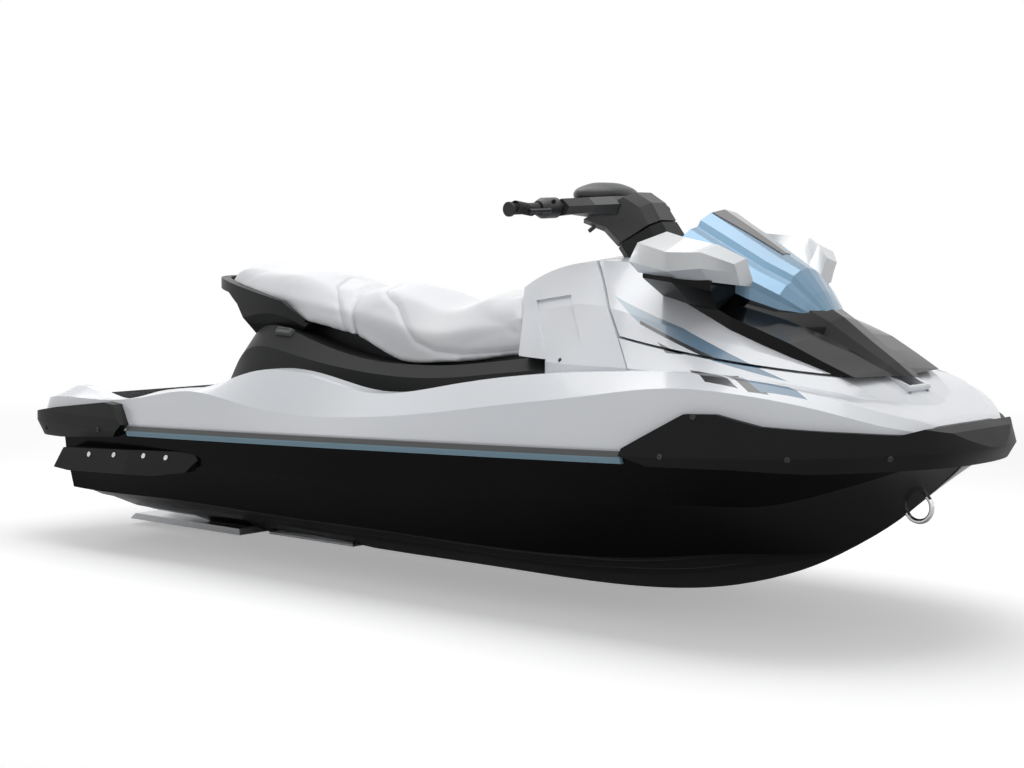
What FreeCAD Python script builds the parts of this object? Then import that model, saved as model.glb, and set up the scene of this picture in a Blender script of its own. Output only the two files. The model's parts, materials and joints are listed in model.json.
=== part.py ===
import FreeCAD, Part
import math
import os

# Three-seat personal watercraft with a water-jet drive, bow towards +X, port side towards +Y.
# Places along the craft are stations, counted from the stern edge of the boarding platform,
# and heights are counted from the keel. The row's origin lies at the waterline amidships.

os.makedirs("parts", exist_ok=True)
doc = FreeCAD.newDocument("watercraft")
V = FreeCAD.Vector

# Driving dimensions, in millimetres and degrees.
SIZES = {
    "amidships": 1675,
    "draft": 250,
    "hull_beam": 1192,
    "widest_station": 1800,
    "stem_station": 3290,
    "bow_fullness": 5.5,
    "stern_taper": 80,
    "transom_station": 200,
    "join_at_stern": 365,
    "join_slope": 0.0398,
    "rocker_start": 1800,
    "rocker_power": 3.3,
    "deadrise": 20,
    "chine_beam": 1000,
    "chine_start": 1500,
    "chine_end": 2870,
    "chine_flat": 34,
    "strake_width": 16,
    "rail_height": 32,
    "rail_proud": 12,
    "fit_gap": 0.3,
    "moving_gap": 6,
    "footwell_floor": 15,
    "bolster_width": 130,
    "bay_rear": 960,
    "bay_floor": 104,
    "engine_length": 620,
    "engine_width": 380,
    "engine_height": 400,
    "engine_end_room": 40,
    "engine_side_room": 25,
    "engine_headroom": 96,
    "jet_height": 120,
    "tunnel_front": 420,
    "tunnel_half_width": 150,
    "tunnel_roof": 352,
    "impeller_bore": 150,
    "pump_wall": 12,
    "pump_front": 640,
    "outlet_station": 262,
    "outlet_bore": 80,
    "flange_width": 184,
    "flange_thickness": 14,
    "nozzle_tip": 130,
    "nozzle_bore": 86,
    "gate_pivot": 330,
    "gate_radius": 213,
    "gate_wall": 6,
    "gate_half_width": 118,
    "pin_radius": 8,
    "blade_count": 4,
    "hub_radius": 30,
    "shaft_radius": 14,
    "tip_gap": 1,
    "seat_clearance": 0.3,
    "hood_gap": 6,
    "hood_wall": 14,
    "column_tilt": 28,
    "column_station": 2235,
    "column_height": 1040,
    "bar_radius": 11,
    "grip_radius": 16,
    "grip_span": 753,
    "grip_station": 2025,
    "grip_height": 1105,
    "grip_length": 120,
}
sheet = doc.addObject("Spreadsheet::Sheet", "sizes")
for row, (alias, value) in enumerate(SIZES.items(), start=1):
    sheet.set(f"A{row}", alias.replace("_", " "))
    sheet.set(f"B{row}", str(value))
    sheet.setAlias(f"B{row}", alias)
doc.recompute()

SIDES = {"port": 1, "starboard": -1}
FAR = 3000
pieces = []


def size(alias):
    """Value of a sheet cell."""
    return float(getattr(sheet, alias))


def spot(station, side, height):
    """Point of the row's frame from a station, a distance off the centreline and a height."""
    return V(station - size("amidships"), side, height - size("draft"))


def piece(name, shape):
    """Add a finished sub-part whose shape is already in its place."""
    item = doc.addObject("Part::Feature", name)
    item.Shape = shape
    item.Label = name
    pieces.append(item)
    return shape


def ring(station, half_outline):
    """Closed section across the craft, mirrored from its (side, height) points."""
    starboard = [spot(station, -side, height) for side, height in half_outline]
    port = [spot(station, side, height) for side, height in reversed(half_outline) if side > 0]
    return Part.makePolygon(starboard + port + starboard[:1])


def loft(rings, straight=False):
    """Solid through a row of sections, by straight or by cubic lines."""
    return Part.makeLoft(rings, True, straight, False, 3)


def largest(shape):
    """The biggest solid of a cut shape, without the chips that the cut leaves."""
    return max(shape.Solids, key=lambda solid: solid.Volume)


def prism(outline, low_side, high_side):
    """Solid between two fore-and-aft planes whose outline is given as stations and heights."""
    points = [spot(station, low_side, height) for station, height in outline]
    return Part.Face(Part.makePolygon(points + points[:1])).extrude(V(0, high_side - low_side, 0))


def block(low, high):
    """Box between two corners given as station, side and height."""
    low_corner = spot(*low)
    high_corner = spot(*high)
    room = high_corner - low_corner
    return Part.makeBox(room.x, room.y, room.z, low_corner)


def rod(start, end, radius):
    """Round bar between two points."""
    return Part.makeCylinder(radius, (end - start).Length, start, end - start)


def mirrored(shape):
    """The same shape on the other side of the centre plane."""
    return shape.mirror(V(0, 0, 0), V(0, 1, 0))


# Lines of the hull.
def join_height(station):
    return size("join_at_stern") + size("join_slope") * station


def sheer_half(station):
    """Half-breadth of the hull where the deck joins it."""
    widest = size("widest_station")
    half = size("hull_beam") / 2
    if station > widest:
        reach = (station - widest) / (size("stem_station") - widest)
        return half * math.sqrt(1 - reach ** size("bow_fullness"))
    return half - size("stern_taper") * ((widest - station) / widest) ** 2


def keel_height(station):
    start = size("rocker_start")
    if station <= start:
        return 0
    stem = size("stem_station")
    return join_height(stem) * ((station - start) / (stem - start)) ** size("rocker_power")


def chine_half(station):
    """Half-breadth of the planing bottom, which runs out on the stem."""
    start = size("chine_start")
    half = size("chine_beam") / 2
    least = size("strake_width") / 2
    if station <= start:
        return half
    reach = (station - start) / (size("chine_end") - start)
    if reach >= 1:
        return least
    return max(least, half * math.sqrt(1 - reach ** 3))


def hull_ring(station):
    keel = keel_height(station)
    chine = chine_half(station)
    sheer = sheer_half(station)
    join = join_height(station)
    rise = math.tan(math.radians(size("deadrise")))
    share = chine / (size("chine_beam") / 2)
    shelf = size("strake_width") * share
    outline = [(0, keel)]
    for part_way in (0.42, 0.72):
        inner = chine * part_way
        outline += [(inner, keel + inner * rise), (inner + shelf, keel + inner * rise)]
    flat = size("chine_flat") * share
    edge = keel + (chine - flat) * rise
    side = join - edge
    outline += [(chine - flat, edge), (chine, edge)]
    outline += [(chine + (sheer - chine) * 0.72, edge + side * 0.55)]
    outline += [(sheer, join - 6), (sheer, join + 30)]
    return ring(station, outline)


HULL_STATIONS = (150, 600, 1100, 1500, 1800, 2100, 2350, 2550, 2720, 2860, 3000, 3110, 3190, 3245, 3278)


def above_join():
    """Everything higher than the hull's joint with the deck."""
    length = size("stem_station") + 300
    outline = [(-300, join_height(-300)), (length, join_height(length)), (length, FAR), (-300, FAR)]
    return prism(outline, -FAR, FAR)


def engine_bay():
    """Room round the engine, taken out of the hull, the deck and the seat's pedestal."""
    half = size("engine_width") / 2 + size("engine_side_room")
    front = size("bay_rear") + size("engine_length") + 2 * size("engine_end_room")
    roof = size("bay_floor") + size("engine_height") + size("engine_headroom")
    return block((size("bay_rear"), -half, size("bay_floor")), (front, half, roof))


jet = size("jet_height")
bore = size("impeller_bore") / 2
barrel = bore + size("pump_wall")


def hull_form():
    """The hull's outside, before anything is cut out of it."""
    hull = loft([hull_ring(station) for station in HULL_STATIONS]).cut(above_join())
    return hull.cut(block((-300, -FAR, -300), (size("transom_station"), FAR, FAR)))


def make_hull(hull):
    front = size("tunnel_front")
    half = size("tunnel_half_width")
    hull = hull.cut(block((0, -half, -50), (front, half, size("tunnel_roof"))))
    pump_front = size("pump_front")
    hull = hull.cut(rod(spot(front - 1, 0, jet), spot(pump_front, 0, jet), barrel + size("fit_gap")))
    inlet_start = spot(pump_front - 1, 0, jet)
    inlet_end = spot(pump_front + 520, 0, jet - 210)
    hull = hull.cut(rod(inlet_start, inlet_end, bore))
    shaft_hole = size("shaft_radius") + 1
    hull = hull.cut(rod(spot(pump_front, 0, jet), spot(size("bay_rear") + 1, 0, jet), shaft_hole))
    hull = hull.cut(engine_bay())
    return hull


# Lines of the deck: station, height of the side crease, height of the bolster's edge.
DECK_LINES = (
    (0, 455, 462),
    (60, 462, 470),
    (300, 474, 482),
    (550, 489, 498),
    (750, 522, 530),
    (950, 530, 566),
    (1180, 502, 616),
    (1400, 493, 598),
    (1600, 503, 570),
    (1900, 535, 608),
    (2150, 573, 648),
    (2350, 601, 668),
    (2600, 640, 684),
    (2820, 650, 678),
    (3000, 628, 652),
    (3120, 596, 618),
    (3200, 566, 586),
    (3250, 545, 562),
)


def deck_half(station):
    """Half-breadth of the deck at its foot, drawn in round the stern's corners."""
    corner = max(0, 1 - station / 120) ** 2
    return sheer_half(station) - 70 * corner


def deck_ring(station, crease, edge):
    half = deck_half(station)
    join = join_height(station)
    inset = min(25, 0.08 * half)
    lean = min(95, 0.3 * half)
    outline = [(half, join - 40), (half, join + 22), (half - inset, crease)]
    outline += [(half - lean, edge), (half - lean - 20, edge + 1)]
    return ring(station, outline)


# Upper bow body, station by station: top on the centreline, then shoulder, hip and foot
# as distances off the centreline and heights.
BOW_LINES = (
    (1850, 868, (118, 862), (165, 800), (205, 690)),
    (2000, 945, (120, 935), (190, 822), (270, 686)),
    (2160, 975, (130, 960), (240, 840), (335, 678)),
    (2350, 975, (150, 950), (290, 830), (405, 682)),
    (2520, 935, (170, 910), (325, 800), (440, 684)),
    (2700, 852, (170, 838), (325, 765), (450, 676)),
    (2850, 776, (155, 768), (300, 730), (425, 660)),
    (3000, 702, (130, 698), (250, 684), (360, 636)),
    (3110, 640, (100, 636), (185, 624), (270, 598)),
    (3190, 582, (60, 580), (110, 574), (160, 560)),
)
BODY_FOOT = 470


def bow_ring(station, top, shoulder, hip, foot, growth=0):
    """Section of the upper bow body, drawn in or out by the growth."""
    shoulder = (shoulder[0] + growth, shoulder[1] + growth)
    hip = (hip[0] + growth, hip[1] + growth)
    foot = (foot[0] + growth, foot[1])
    outline = [(foot[0], BODY_FOOT), foot, hip, shoulder, (0, top + growth)]
    return ring(station, outline)


def bow_body(growth=0):
    return loft([bow_ring(*line, growth) for line in BOW_LINES])


# Straight parting lines of the bow, as stations and heights.
SEAT_FRONT_LINE = ((1874, 870), (1968, 690))
HOOD_REAR_LINE = ((2160, 955), (2510, 670))
HOOD_FOOT_LINE = ((2515, 743), (3115, 665))


def on_line(line, height=None, station=None):
    """Station at a height, or height at a station, on a straight parting line."""
    (x1, z1), (x2, z2) = line
    if height is not None:
        return x1 + (height - z1) * (x2 - x1) / (z2 - z1)
    return z1 + (station - x1) * (z2 - z1) / (x2 - x1)


def ahead_of(line, shift=0):
    """Everything forward of a parting line moved along the craft by a shift."""
    low = on_line(line, height=0) + shift
    high = on_line(line, height=1400) + shift
    return prism([(low, 0), (6000, 0), (6000, 1400), (high, 1400)], -FAR, FAR)


def over(line, shift=0):
    """Everything above a parting line moved up by a shift."""
    rear = on_line(line, station=1000) + shift
    front = on_line(line, station=4000) + shift
    return prism([(1000, rear), (4000, front), (4000, 2500), (1000, 2500)], -FAR, FAR)


def hood_space(shift):
    return ahead_of(HOOD_REAR_LINE, shift).common(over(HOOD_FOOT_LINE, shift))


def trough():
    """Footwells on both sides of the seat, open towards the boarding platform."""
    rings = []
    for station in (560, 1000, 1500, 1900, 2120):
        half = sheer_half(station) - size("bolster_width")
        floor = join_height(station) + size("footwell_floor")
        rings.append(ring(station, [(half - 45, floor), (half, 900)]))
    return loft(rings, straight=True)


def platform_recess():
    floor = 452
    return block((-50, -400, floor), (600, 400, 900))


HOOD_PIN = (3112, 644)
HINGE_HALF = 40
HINGE_RADIUS = 9
STORE = ((2420, -230, 502), (2900, 230, 760))


def deck_form():
    """The deck's outside without its footwells, up to the hood's parting line."""
    deck = loft([deck_ring(*line) for line in DECK_LINES])
    deck = deck.common(above_join())
    forward = bow_body().common(ahead_of(HOOD_REAR_LINE, 0)).cut(hood_space(0))
    return deck.fuse(forward.common(above_join()))


def make_deck(deck):
    deck = deck.cut(trough()).cut(engine_bay()).cut(platform_recess())
    deck = deck.cut(block(*STORE))
    barrel_start = spot(HOOD_PIN[0], -HINGE_HALF, HOOD_PIN[1])
    deck = deck.fuse(Part.makeCylinder(HINGE_RADIUS, 2 * HINGE_HALF, barrel_start, V(0, 1, 0)))
    return deck.removeSplitter()


# Seat pedestal: station, top height and half-width, ridge height and half-width, foot half-width.
PEDESTAL_LINES = (
    (600, 498, 150, 480, 200, 245),
    (731, 640, 185, 592, 235, 270),
    (866, 731, 210, 664, 268, 290),
    (1072, 694, 225, 642, 280, 300),
    (1252, 655, 235, 617, 280, 300),
    (1509, 634, 238, 600, 275, 296),
    (1750, 648, 232, 612, 268, 290),
    (2120, 694, 222, 650, 262, 284),
)

# Seat: station, underside height and half-width, belly height and half-width,
# shoulder height and half-width, crown height.
SEAT_LINES = (
    (565, 838, 60, 862, 100, 884, 75, 896),
    (600, 816, 120, 856, 150, 902, 108, 920),
    (680, 796, 158, 842, 175, 905, 128, 926),
    (800, 776, 176, 832, 186, 893, 135, 911),
    (1000, 746, 194, 812, 200, 876, 140, 896),
    (1200, 716, 206, 792, 206, 846, 140, 868),
    (1290, 694, 210, 782, 210, 850, 144, 873),
    (1440, 640, 215, 752, 214, 832, 140, 856),
    (1540, 636, 215, 734, 210, 801, 135, 826),
    (1660, 646, 212, 742, 206, 814, 130, 840),
    (1780, 660, 206, 758, 200, 842, 125, 866),
    (1890, 676, 202, 782, 192, 880, 120, 904),
    (2000, 694, 198, 806, 185, 915, 118, 940),
)
SEAM_LINE = ((1186, 870), (1252, 703))


def seat_body(growth=0):
    rings = []
    for station, low, low_half, belly, belly_half, shoulder, shoulder_half, crown in SEAT_LINES:
        outline = [(low_half + growth, low - growth), (belly_half + growth, belly)]
        outline += [(shoulder_half + growth, shoulder), (0, crown)]
        rings.append(ring(station, outline))
    return loft(rings)


def make_pedestal(deck):
    rings = []
    for station, top, top_half, ridge, ridge_half, foot_half in PEDESTAL_LINES:
        outline = [(foot_half, 380), (ridge_half, ridge), (top_half, top)]
        rings.append(ring(station, outline))
    pedestal = loft(rings)
    core = [ring(880, [(120, 600), (120, 820)]), ring(1950, [(170, 600), (170, 820)])]
    pedestal = pedestal.fuse(loft(core, straight=True))
    pedestal = pedestal.cut(deck).cut(engine_bay())
    clearance = size("seat_clearance")
    pedestal = pedestal.cut(seat_body(clearance))
    pedestal = pedestal.cut(ahead_of(((1186, 900), (1186.1, 0)), 0).common(block((0, -FAR, 760), (FAR, FAR, FAR))))
    above_seat = prism([(500, 845), (2100, 845), (2100, 1400), (500, 1400)], -FAR, FAR)
    pedestal = pedestal.cut(above_seat).cut(ahead_of(((2100, 900), (2100.1, 0))))
    return largest(pedestal)


hull_outside = hull_form()
deck_outside = deck_form()
hull = make_hull(hull_outside)
deck = make_deck(deck_outside)
piece("hull", hull)
pedestal = make_pedestal(deck)

seat = seat_body().cut(ahead_of(SEAT_FRONT_LINE, -3))
piece("seat_rear", seat.cut(ahead_of(SEAM_LINE, -1)))
piece("seat_front", seat.common(ahead_of(SEAM_LINE, 1)))

TONGUE_HALF = 80
TONGUE_FRONT = 2390


def tongue(growth=0):
    """Room of the console's tongue under the steering column."""
    half = TONGUE_HALF + growth
    return block((2000, -half, 700 - growth), (TONGUE_FRONT + growth, half, 1100))


LID = (1978, 2096, 92)
LID_THICKNESS = 12
LID_GAP = 8
TRAY_FLOOR = 800
LID_PIN = (1966, 918)
LID_PIN_RADIUS = 6
LID_HINGE_HALF = 76


def lid_room(gap, depth):
    """Top skin of the console under the glovebox lid, with a gap all round it."""
    rear, front, half = LID
    room = block((rear - gap, -half - gap, 700), (front + gap, half + gap, 1200))
    return bow_body().common(room).cut(bow_body(-depth))


behind = bow_body().common(ahead_of(SEAT_FRONT_LINE)).cut(ahead_of(HOOD_REAR_LINE, -size("hood_gap")))
console = behind.fuse(bow_body().common(tongue()))
console = console.cut(deck_outside.cut(trough())).cut(block((1700, -FAR, 0), (2112, FAR, 684)))
console = console.cut(block((LID[0] - LID_GAP - 2, 8 - LID[2], TRAY_FLOOR), (LID[1] - 8, LID[2] - 8, 1000)))
console = console.cut(lid_room(LID_GAP, LID_THICKNESS + size("fit_gap")))
console = console.cut(block((LID_PIN[0] - 20, -LID_HINGE_HALF - 8, LID_PIN[1] - 14), (LID[0], LID_HINGE_HALF + 8, 1000)))
PANEL_SIDE = ((1952, 842), (2118, 864), (2248, 744), (2074, 712))
PANEL_DEPTH = 5
recess = bow_body(6).cut(bow_body(-PANEL_DEPTH)).common(prism(PANEL_SIDE, -FAR, FAR))
console = largest(console.cut(recess).removeSplitter())
pedestal = largest(pedestal.cut(console))
piece("seat_pedestal", pedestal)
piece("console", console)
lid = largest(lid_room(0, LID_THICKNESS))
barrel_end = spot(LID_PIN[0], -LID_HINGE_HALF, LID_PIN[1])
barrel_pin = Part.makeCylinder(LID_PIN_RADIUS, 2 * LID_HINGE_HALF, barrel_end, V(0, 1, 0))
strap = block((LID_PIN[0], -LID_HINGE_HALF, LID_PIN[1] - 5), (LID[0] + 10, LID_HINGE_HALF, LID_PIN[1] + 5))
piece("glovebox_lid", lid.fuse(barrel_pin).fuse(strap).removeSplitter())

shell = bow_body().common(hood_space(size("hood_gap"))).cut(tongue(size("hood_gap")))
wall = size("hood_wall")
hollow = bow_body(-wall).common(hood_space(0)).cut(tongue(size("hood_gap") + wall))
hood = shell.cut(hollow)


def hinge_ear(side):
    """Ear that joins the hood's front end to its pin, beside the deck's barrel."""
    low = HINGE_HALF + 0.5 if side > 0 else -HINGE_HALF - 0.5 - 16
    ear = Part.makeCylinder(HINGE_RADIUS, 16, spot(HOOD_PIN[0], low, HOOD_PIN[1]), V(0, 1, 0))
    arm_low = HOOD_PIN[1] - HINGE_RADIUS
    arm = prism([(2960, 690), (HOOD_PIN[0], arm_low), (HOOD_PIN[0], arm_low + 18), (2990, 706)], low, low + 16)
    return ear.fuse(arm)


ears = hinge_ear(1).fuse(hinge_ear(-1))
hood = hood.fuse(ears.common(bow_body(-2).fuse(block((3030, -100, 600), (3200, 100, 900))))).removeSplitter()
for sign in (1, -1):
    low = HINGE_HALF if sign > 0 else -HINGE_HALF - 17
    deck = deck.cut(Part.makeCylinder(HINGE_RADIUS + 5, 17, spot(HOOD_PIN[0], low, HOOD_PIN[1]), V(0, 1, 0)))
deck = deck.cut(prism([(2940, 674), (3112, 628), (3130, 676), (2940, 740)], -HINGE_HALF - 17, HINGE_HALF + 17).cut(
    Part.makeCylinder(HINGE_RADIUS, 2 * HINGE_HALF, spot(HOOD_PIN[0], -HINGE_HALF, HOOD_PIN[1]), V(0, 1, 0))))
piece("deck", largest(deck))
piece("hood", hood)


def primitive(kind, name, turn=None, **cells):
    """Part primitive whose sizes and place are expressions on the sheet's cells."""
    item = doc.addObject(f"Part::{kind}", name)
    item.Label = name
    for field, text in cells.items():
        item.setExpression(field.replace("__", "."), text)
    if turn:
        item.Placement.Rotation = FreeCAD.Rotation(*turn)
    pieces.append(item)
    return item


primitive(
    "Box",
    "engine",
    Length="sizes.engine_length",
    Width="sizes.engine_width",
    Height="sizes.engine_height",
    Placement__Base__x="sizes.bay_rear + sizes.engine_end_room - sizes.amidships",
    Placement__Base__y="-sizes.engine_width / 2",
    Placement__Base__z="sizes.bay_floor - sizes.draft",
)

body = hull_outside.fuse(deck_outside)

# Rub rails, seated on the joint of hull and deck.
RAIL_STATIONS = (500, 900, 1300, 1700, 2100, 2450, 2640)


def rail_ring(station):
    half = sheer_half(station)
    join = join_height(station)
    reach = size("rail_height") / 2
    proud = size("rail_proud")
    outline = [
        (half - 30, join - reach),
        (half + proud - 4, join - reach),
        (half + proud, join - 2),
        (half + proud - 2, join + reach),
        (half - 30, join + reach),
    ]
    points = [spot(station, side, height) for side, height in outline]
    return Part.makePolygon(points + points[:1])


rail = loft([rail_ring(station) for station in RAIL_STATIONS])
BUMPER_REAR = 2592
STERN_BUMPER_FRONT = 575
rail = rail.cut(prism([(BUMPER_REAR, 0), (6000, 0), (6000, 900), (BUMPER_REAR, 900)], -FAR, FAR))
rail = rail.cut(prism([(0, 0), (STERN_BUMPER_FRONT, 0), (STERN_BUMPER_FRONT, 900), (0, 900)], -FAR, FAR))
rail = rail.cut(body)
rail = largest(rail)
piece("rub_rail_port", rail)
piece("rub_rail_starboard", mirrored(rail))


# Bow bumper: a soft cap round the nose with a raised cheek on each side.
def bumper_wire(growth, rise, nose):
    """Plan of the bumper as a smooth curve round a blunt nose, parallel to the hull's joint."""
    rim = [(station, sheer_half(station) + growth) for station in (2540, 2640, 2760, 2880, 2990, 3090, 3170, 3225)]
    front_half = rim[-1][1]
    rim += [(3272 + nose * 0.4, front_half * 0.74), (3306 + nose * 0.8, front_half * 0.36), (3314 + nose, 0)]
    port = [spot(station, side, join_height(station) + rise) for station, side in rim]
    starboard = [V(point.x, -point.y, point.z) for point in reversed(port[:-1])]
    curve = Part.BSplineCurve()
    curve.interpolate(port + starboard)
    return Part.Wire([curve.toShape(), Part.makeLine(starboard[-1], port[0])])


bumper = Part.makeLoft([bumper_wire(6, -34, -2), bumper_wire(22, 6, 34), bumper_wire(2, 115, -20)], True, True)
BUMPER_SIDE = (
    (2592, 474), (2672, 452), (2900, 458), (3240, 448), (3330, 458), (3360, 494), (3300, 550), (3262, 562),
    (3225, 548), (3150, 556), (2960, 568), (2812, 602), (2770, 592), (2600, 494),
)
bumper = bumper.common(prism(BUMPER_SIDE, -FAR, FAR)).cut(body)
bumper = largest(bumper)
piece("bow_bumper", bumper)

# Stern bumpers: soft corners that wrap from the side on to the stern edge.
CORNER_SIDE = (
    (-20, 372), (30, 334), (185, 338), (520, 366), (575, 409), (512, 470), (455, 474), (180, 440), (40, 418),
    (-20, 400),
)


def corner_wire(growth, height):
    stations = (-14, -14, 6, 40, 110, 200, 320, 460, 620)
    sides = (250, 400, 455, 490, 514, 528, 541, 556, 571)
    points = [spot(station - growth * 0.4, side + growth, height) for station, side in zip(stations, sides)]
    points[0] = spot(stations[0] - growth * 0.4, sides[0], height)
    curve = Part.BSplineCurve()
    curve.interpolate(points[2:])
    edge = curve.toShape()
    back = [points[0], points[2]]
    inner = [points[-1], spot(620, 250, height), points[0]]
    return Part.Wire([Part.makePolygon(back), edge, Part.makePolygon(inner)])


corner = Part.makeLoft([corner_wire(2, 330), corner_wire(26, 385), corner_wire(26, 425), corner_wire(8, 490)], True, True)
corner = corner.common(prism(CORNER_SIDE, -FAR, FAR)).cut(body).cut(rail)
corner = largest(corner)
piece("stern_bumper_port", corner)
piece("stern_bumper_starboard", mirrored(corner))

# Sponsons: steering fins bolted low on the hull's sides near the stern.
SPONSON_SIDE = ((228, 246), (300, 240), (735, 258), (880, 280), (922, 322), (900, 338), (820, 340), (256, 312))


def sponson_ring(station, out):
    outline = [(470, 230), (out - 6, 232), (out, 246), (out - 16, 300), (out - 34, 345), (470, 345)]
    points = [spot(station, side, height) for side, height in outline]
    return Part.makePolygon(points + points[:1])


sponson = loft([sponson_ring(200, 598), sponson_ring(600, 606), sponson_ring(940, 592)], True)
sponson = sponson.common(prism(SPONSON_SIDE, -FAR, FAR)).cut(hull)
sponson = largest(sponson)
piece("sponson_port", sponson)
piece("sponson_starboard", mirrored(sponson))


def tube(points, radius, bend):
    """Round bar along straight runs joined by bends of one radius."""
    edges = []
    here = points[0]
    for before, corner_point, after in zip(points, points[1:], points[2:]):
        back = (before - corner_point).normalize()
        on = (after - corner_point).normalize()
        half_turn = (math.pi - back.getAngle(on)) / 2
        reach = bend * math.tan(half_turn)
        start = corner_point + back * reach
        end = corner_point + on * reach
        middle = corner_point + (back + on).normalize() * (bend / math.cos(half_turn) - bend)
        edges.append(Part.makeLine(here, start))
        edges.append(Part.Arc(start, middle, end).toShape())
        here = end
    edges.append(Part.makeLine(here, points[-1]))
    path = Part.Wire(edges)
    circle = Part.Wire(Part.makeCircle(radius, points[0], points[1] - points[0]))
    return path.makePipeShell([circle], True, False)


# Grab handle: a web under the tail of the rear seat, with a rail round it and a gap for the fingers.
HANDLE_PLAN = ((1040, 188), (900, 216), (760, 210), (650, 192), (575, 158), (528, 112), (504, 55), (498, 0))
HANDLE_SIDE = (
    (480, 886), (620, 872), (924, 812), (1032, 744), (1010, 722), (900, 690), (765, 690), (745, 735), (700, 795),
    (645, 832), (480, 856),
)
HANDLE_FRONT = ((160, 680), (200, 735), (232, 800), (232, 900))
HANDLE_GAP = ((618, 130), (560, 105), (534, 72), (526, 0))


def plan_curve(points, low, high):
    """Upright solid over a plan that is a smooth curve round the stern end of its points."""
    side = [spot(station, half, low) for station, half in points]
    side += [V(point.x, -point.y, point.z) for point in reversed(side[:-1])]
    curve = Part.BSplineCurve()
    curve.interpolate(side)
    wire = Part.Wire([curve.toShape(), Part.makeLine(side[-1], side[0])])
    return Part.Face(wire).extrude(V(0, 0, high - low))


def front_prism(outline, rear, front):
    """Solid along the craft whose section is the mirrored outline of half-widths and heights."""
    points = [spot(rear, side, height) for side, height in outline]
    points += [spot(rear, -side, height) for side, height in reversed(outline)]
    return Part.Face(Part.makePolygon(points + points[:1])).extrude(V(front - rear, 0, 0))


handle = plan_curve(HANDLE_PLAN, 600, 1000).common(prism(HANDLE_SIDE, -FAR, FAR))
handle = handle.common(front_prism(HANDLE_FRONT, 400, 1200)).cut(plan_curve(HANDLE_GAP, 600, 1000))
handle = largest(handle.cut(seat_body(size("seat_clearance"))).cut(pedestal).cut(deck))
piece("grab_handle", handle)

# Traction mats: footwells and boarding platform.
MAT = 6


def footwell_mat():
    rings = []
    for station in (600, 1000, 1500, 1900, 2100):
        half = sheer_half(station) - size("bolster_width") - 52
        floor = join_height(station) + size("footwell_floor")
        points = [spot(station, side, height) for side, height in
                  ((308, floor), (half, floor), (half, floor + MAT), (308, floor + MAT))]
        rings.append(Part.makePolygon(points + points[:1]))
    return loft(rings, True).cut(pedestal)


mat = footwell_mat()
piece("footwell_mat_port", mat)
piece("footwell_mat_starboard", mirrored(mat))
platform_mat = block((12, -388, 452), (548, 388, 452 + MAT))
piece("platform_mat", platform_mat)

# Steering column: fixed cowl under the turning shroud, on an axis that leans back.
lean = math.radians(size("column_tilt"))
AXIS = V(-math.sin(lean), 0, math.cos(lean))
ACROSS = V(math.cos(lean), 0, math.sin(lean))
column_point = spot(size("column_station"), 0, size("column_height"))


def tilted(along, forward, side):
    """Point from the column's centre: along its axis, forward of it and to the side."""
    return column_point + AXIS * along + ACROSS * forward + V(0, side, 0)


def cowl_ring(along, rear, front, half, front_half):
    outline = [(rear, half * 0.7), (rear + 25, half), (front - 30, front_half), (front, front_half * 0.6)]
    port = [tilted(along, forward, side) for forward, side in outline]
    starboard = [tilted(along, forward, -side) for forward, side in reversed(outline)]
    return Part.makePolygon(port + starboard + port[:1])


SEAM_GAP = 6
cowl = loft([cowl_ring(-120, -60, 100, 70, 70), cowl_ring(-SEAM_GAP, -82, 82, 66, 62)], True)
cowl = cowl.cut(bow_body())
cowl = largest(cowl)
STEM_RADIUS = 20
STEM_LENGTH = 34
cowl = cowl.fuse(Part.makeCylinder(STEM_RADIUS, STEM_LENGTH + SEAM_GAP, tilted(-SEAM_GAP, 0, 0), AXIS))
piece("steering_column", cowl.removeSplitter())
shroud = loft([cowl_ring(0, -82, 82, 66, 62), cowl_ring(60, -104, 74, 70, 56), cowl_ring(112, -150, 40, 92, 62)], True)
shroud = shroud.cut(Part.makeCylinder(STEM_RADIUS + size("fit_gap"), STEM_LENGTH + size("fit_gap"), tilted(0, 0, 0), AXIS))

# Covers over the bar's arms: distance off the centreline, then rear, front, underside and top.
ARM_LINES = ((0, 2048, 2190, 1084, 1148), (70, 2048, 2186, 1086, 1146), (132, 2040, 2146, 1092, 1142), (176, 2016, 2084, 1086, 1138))


def arm_ring(side, rear, front, low, top):
    outline = [(rear, low + 16), (rear + 18, low), (front - 12, low + 6), (front, top - 22), (front - 26, top), (rear + 16, top - 6)]
    points = [spot(station, side, height) for station, height in outline]
    return Part.makePolygon(points + points[:1])


arm = loft([arm_ring(*line) for line in ARM_LINES], True)
shroud = largest(shroud.fuse(arm).fuse(mirrored(arm)).removeSplitter())
piece("steering_shroud", shroud)

grip_half = size("grip_span") / 2
grip_x = size("grip_station")
grip_z = size("grip_height")
BAR_POINTS = ((grip_x, -grip_half + 4, grip_z), (grip_x + 8, -200, grip_z + 6), (grip_x + 70, -110, grip_z + 22))
bar_points = [spot(*point) for point in BAR_POINTS]
bar_points += [V(point.x, -point.y, point.z) for point in reversed(bar_points)]
bar = tube(bar_points, size("bar_radius"), 40)

# Dome over the bar's clamp: height, half-length and half-width.
PAD_STATION = 2082
PAD_LINES = ((1136, 56, 108), (1146, 70, 126), (1158, 70, 124), (1172, 58, 104), (1183, 34, 66), (1187, 10, 24))


def pad_ring(height, half_length, half_width):
    centre = spot(PAD_STATION, 0, height)
    return Part.Wire(Part.Ellipse(centre + V(0, half_width, 0), centre + V(half_length, 0, 0), centre).toShape())


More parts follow.
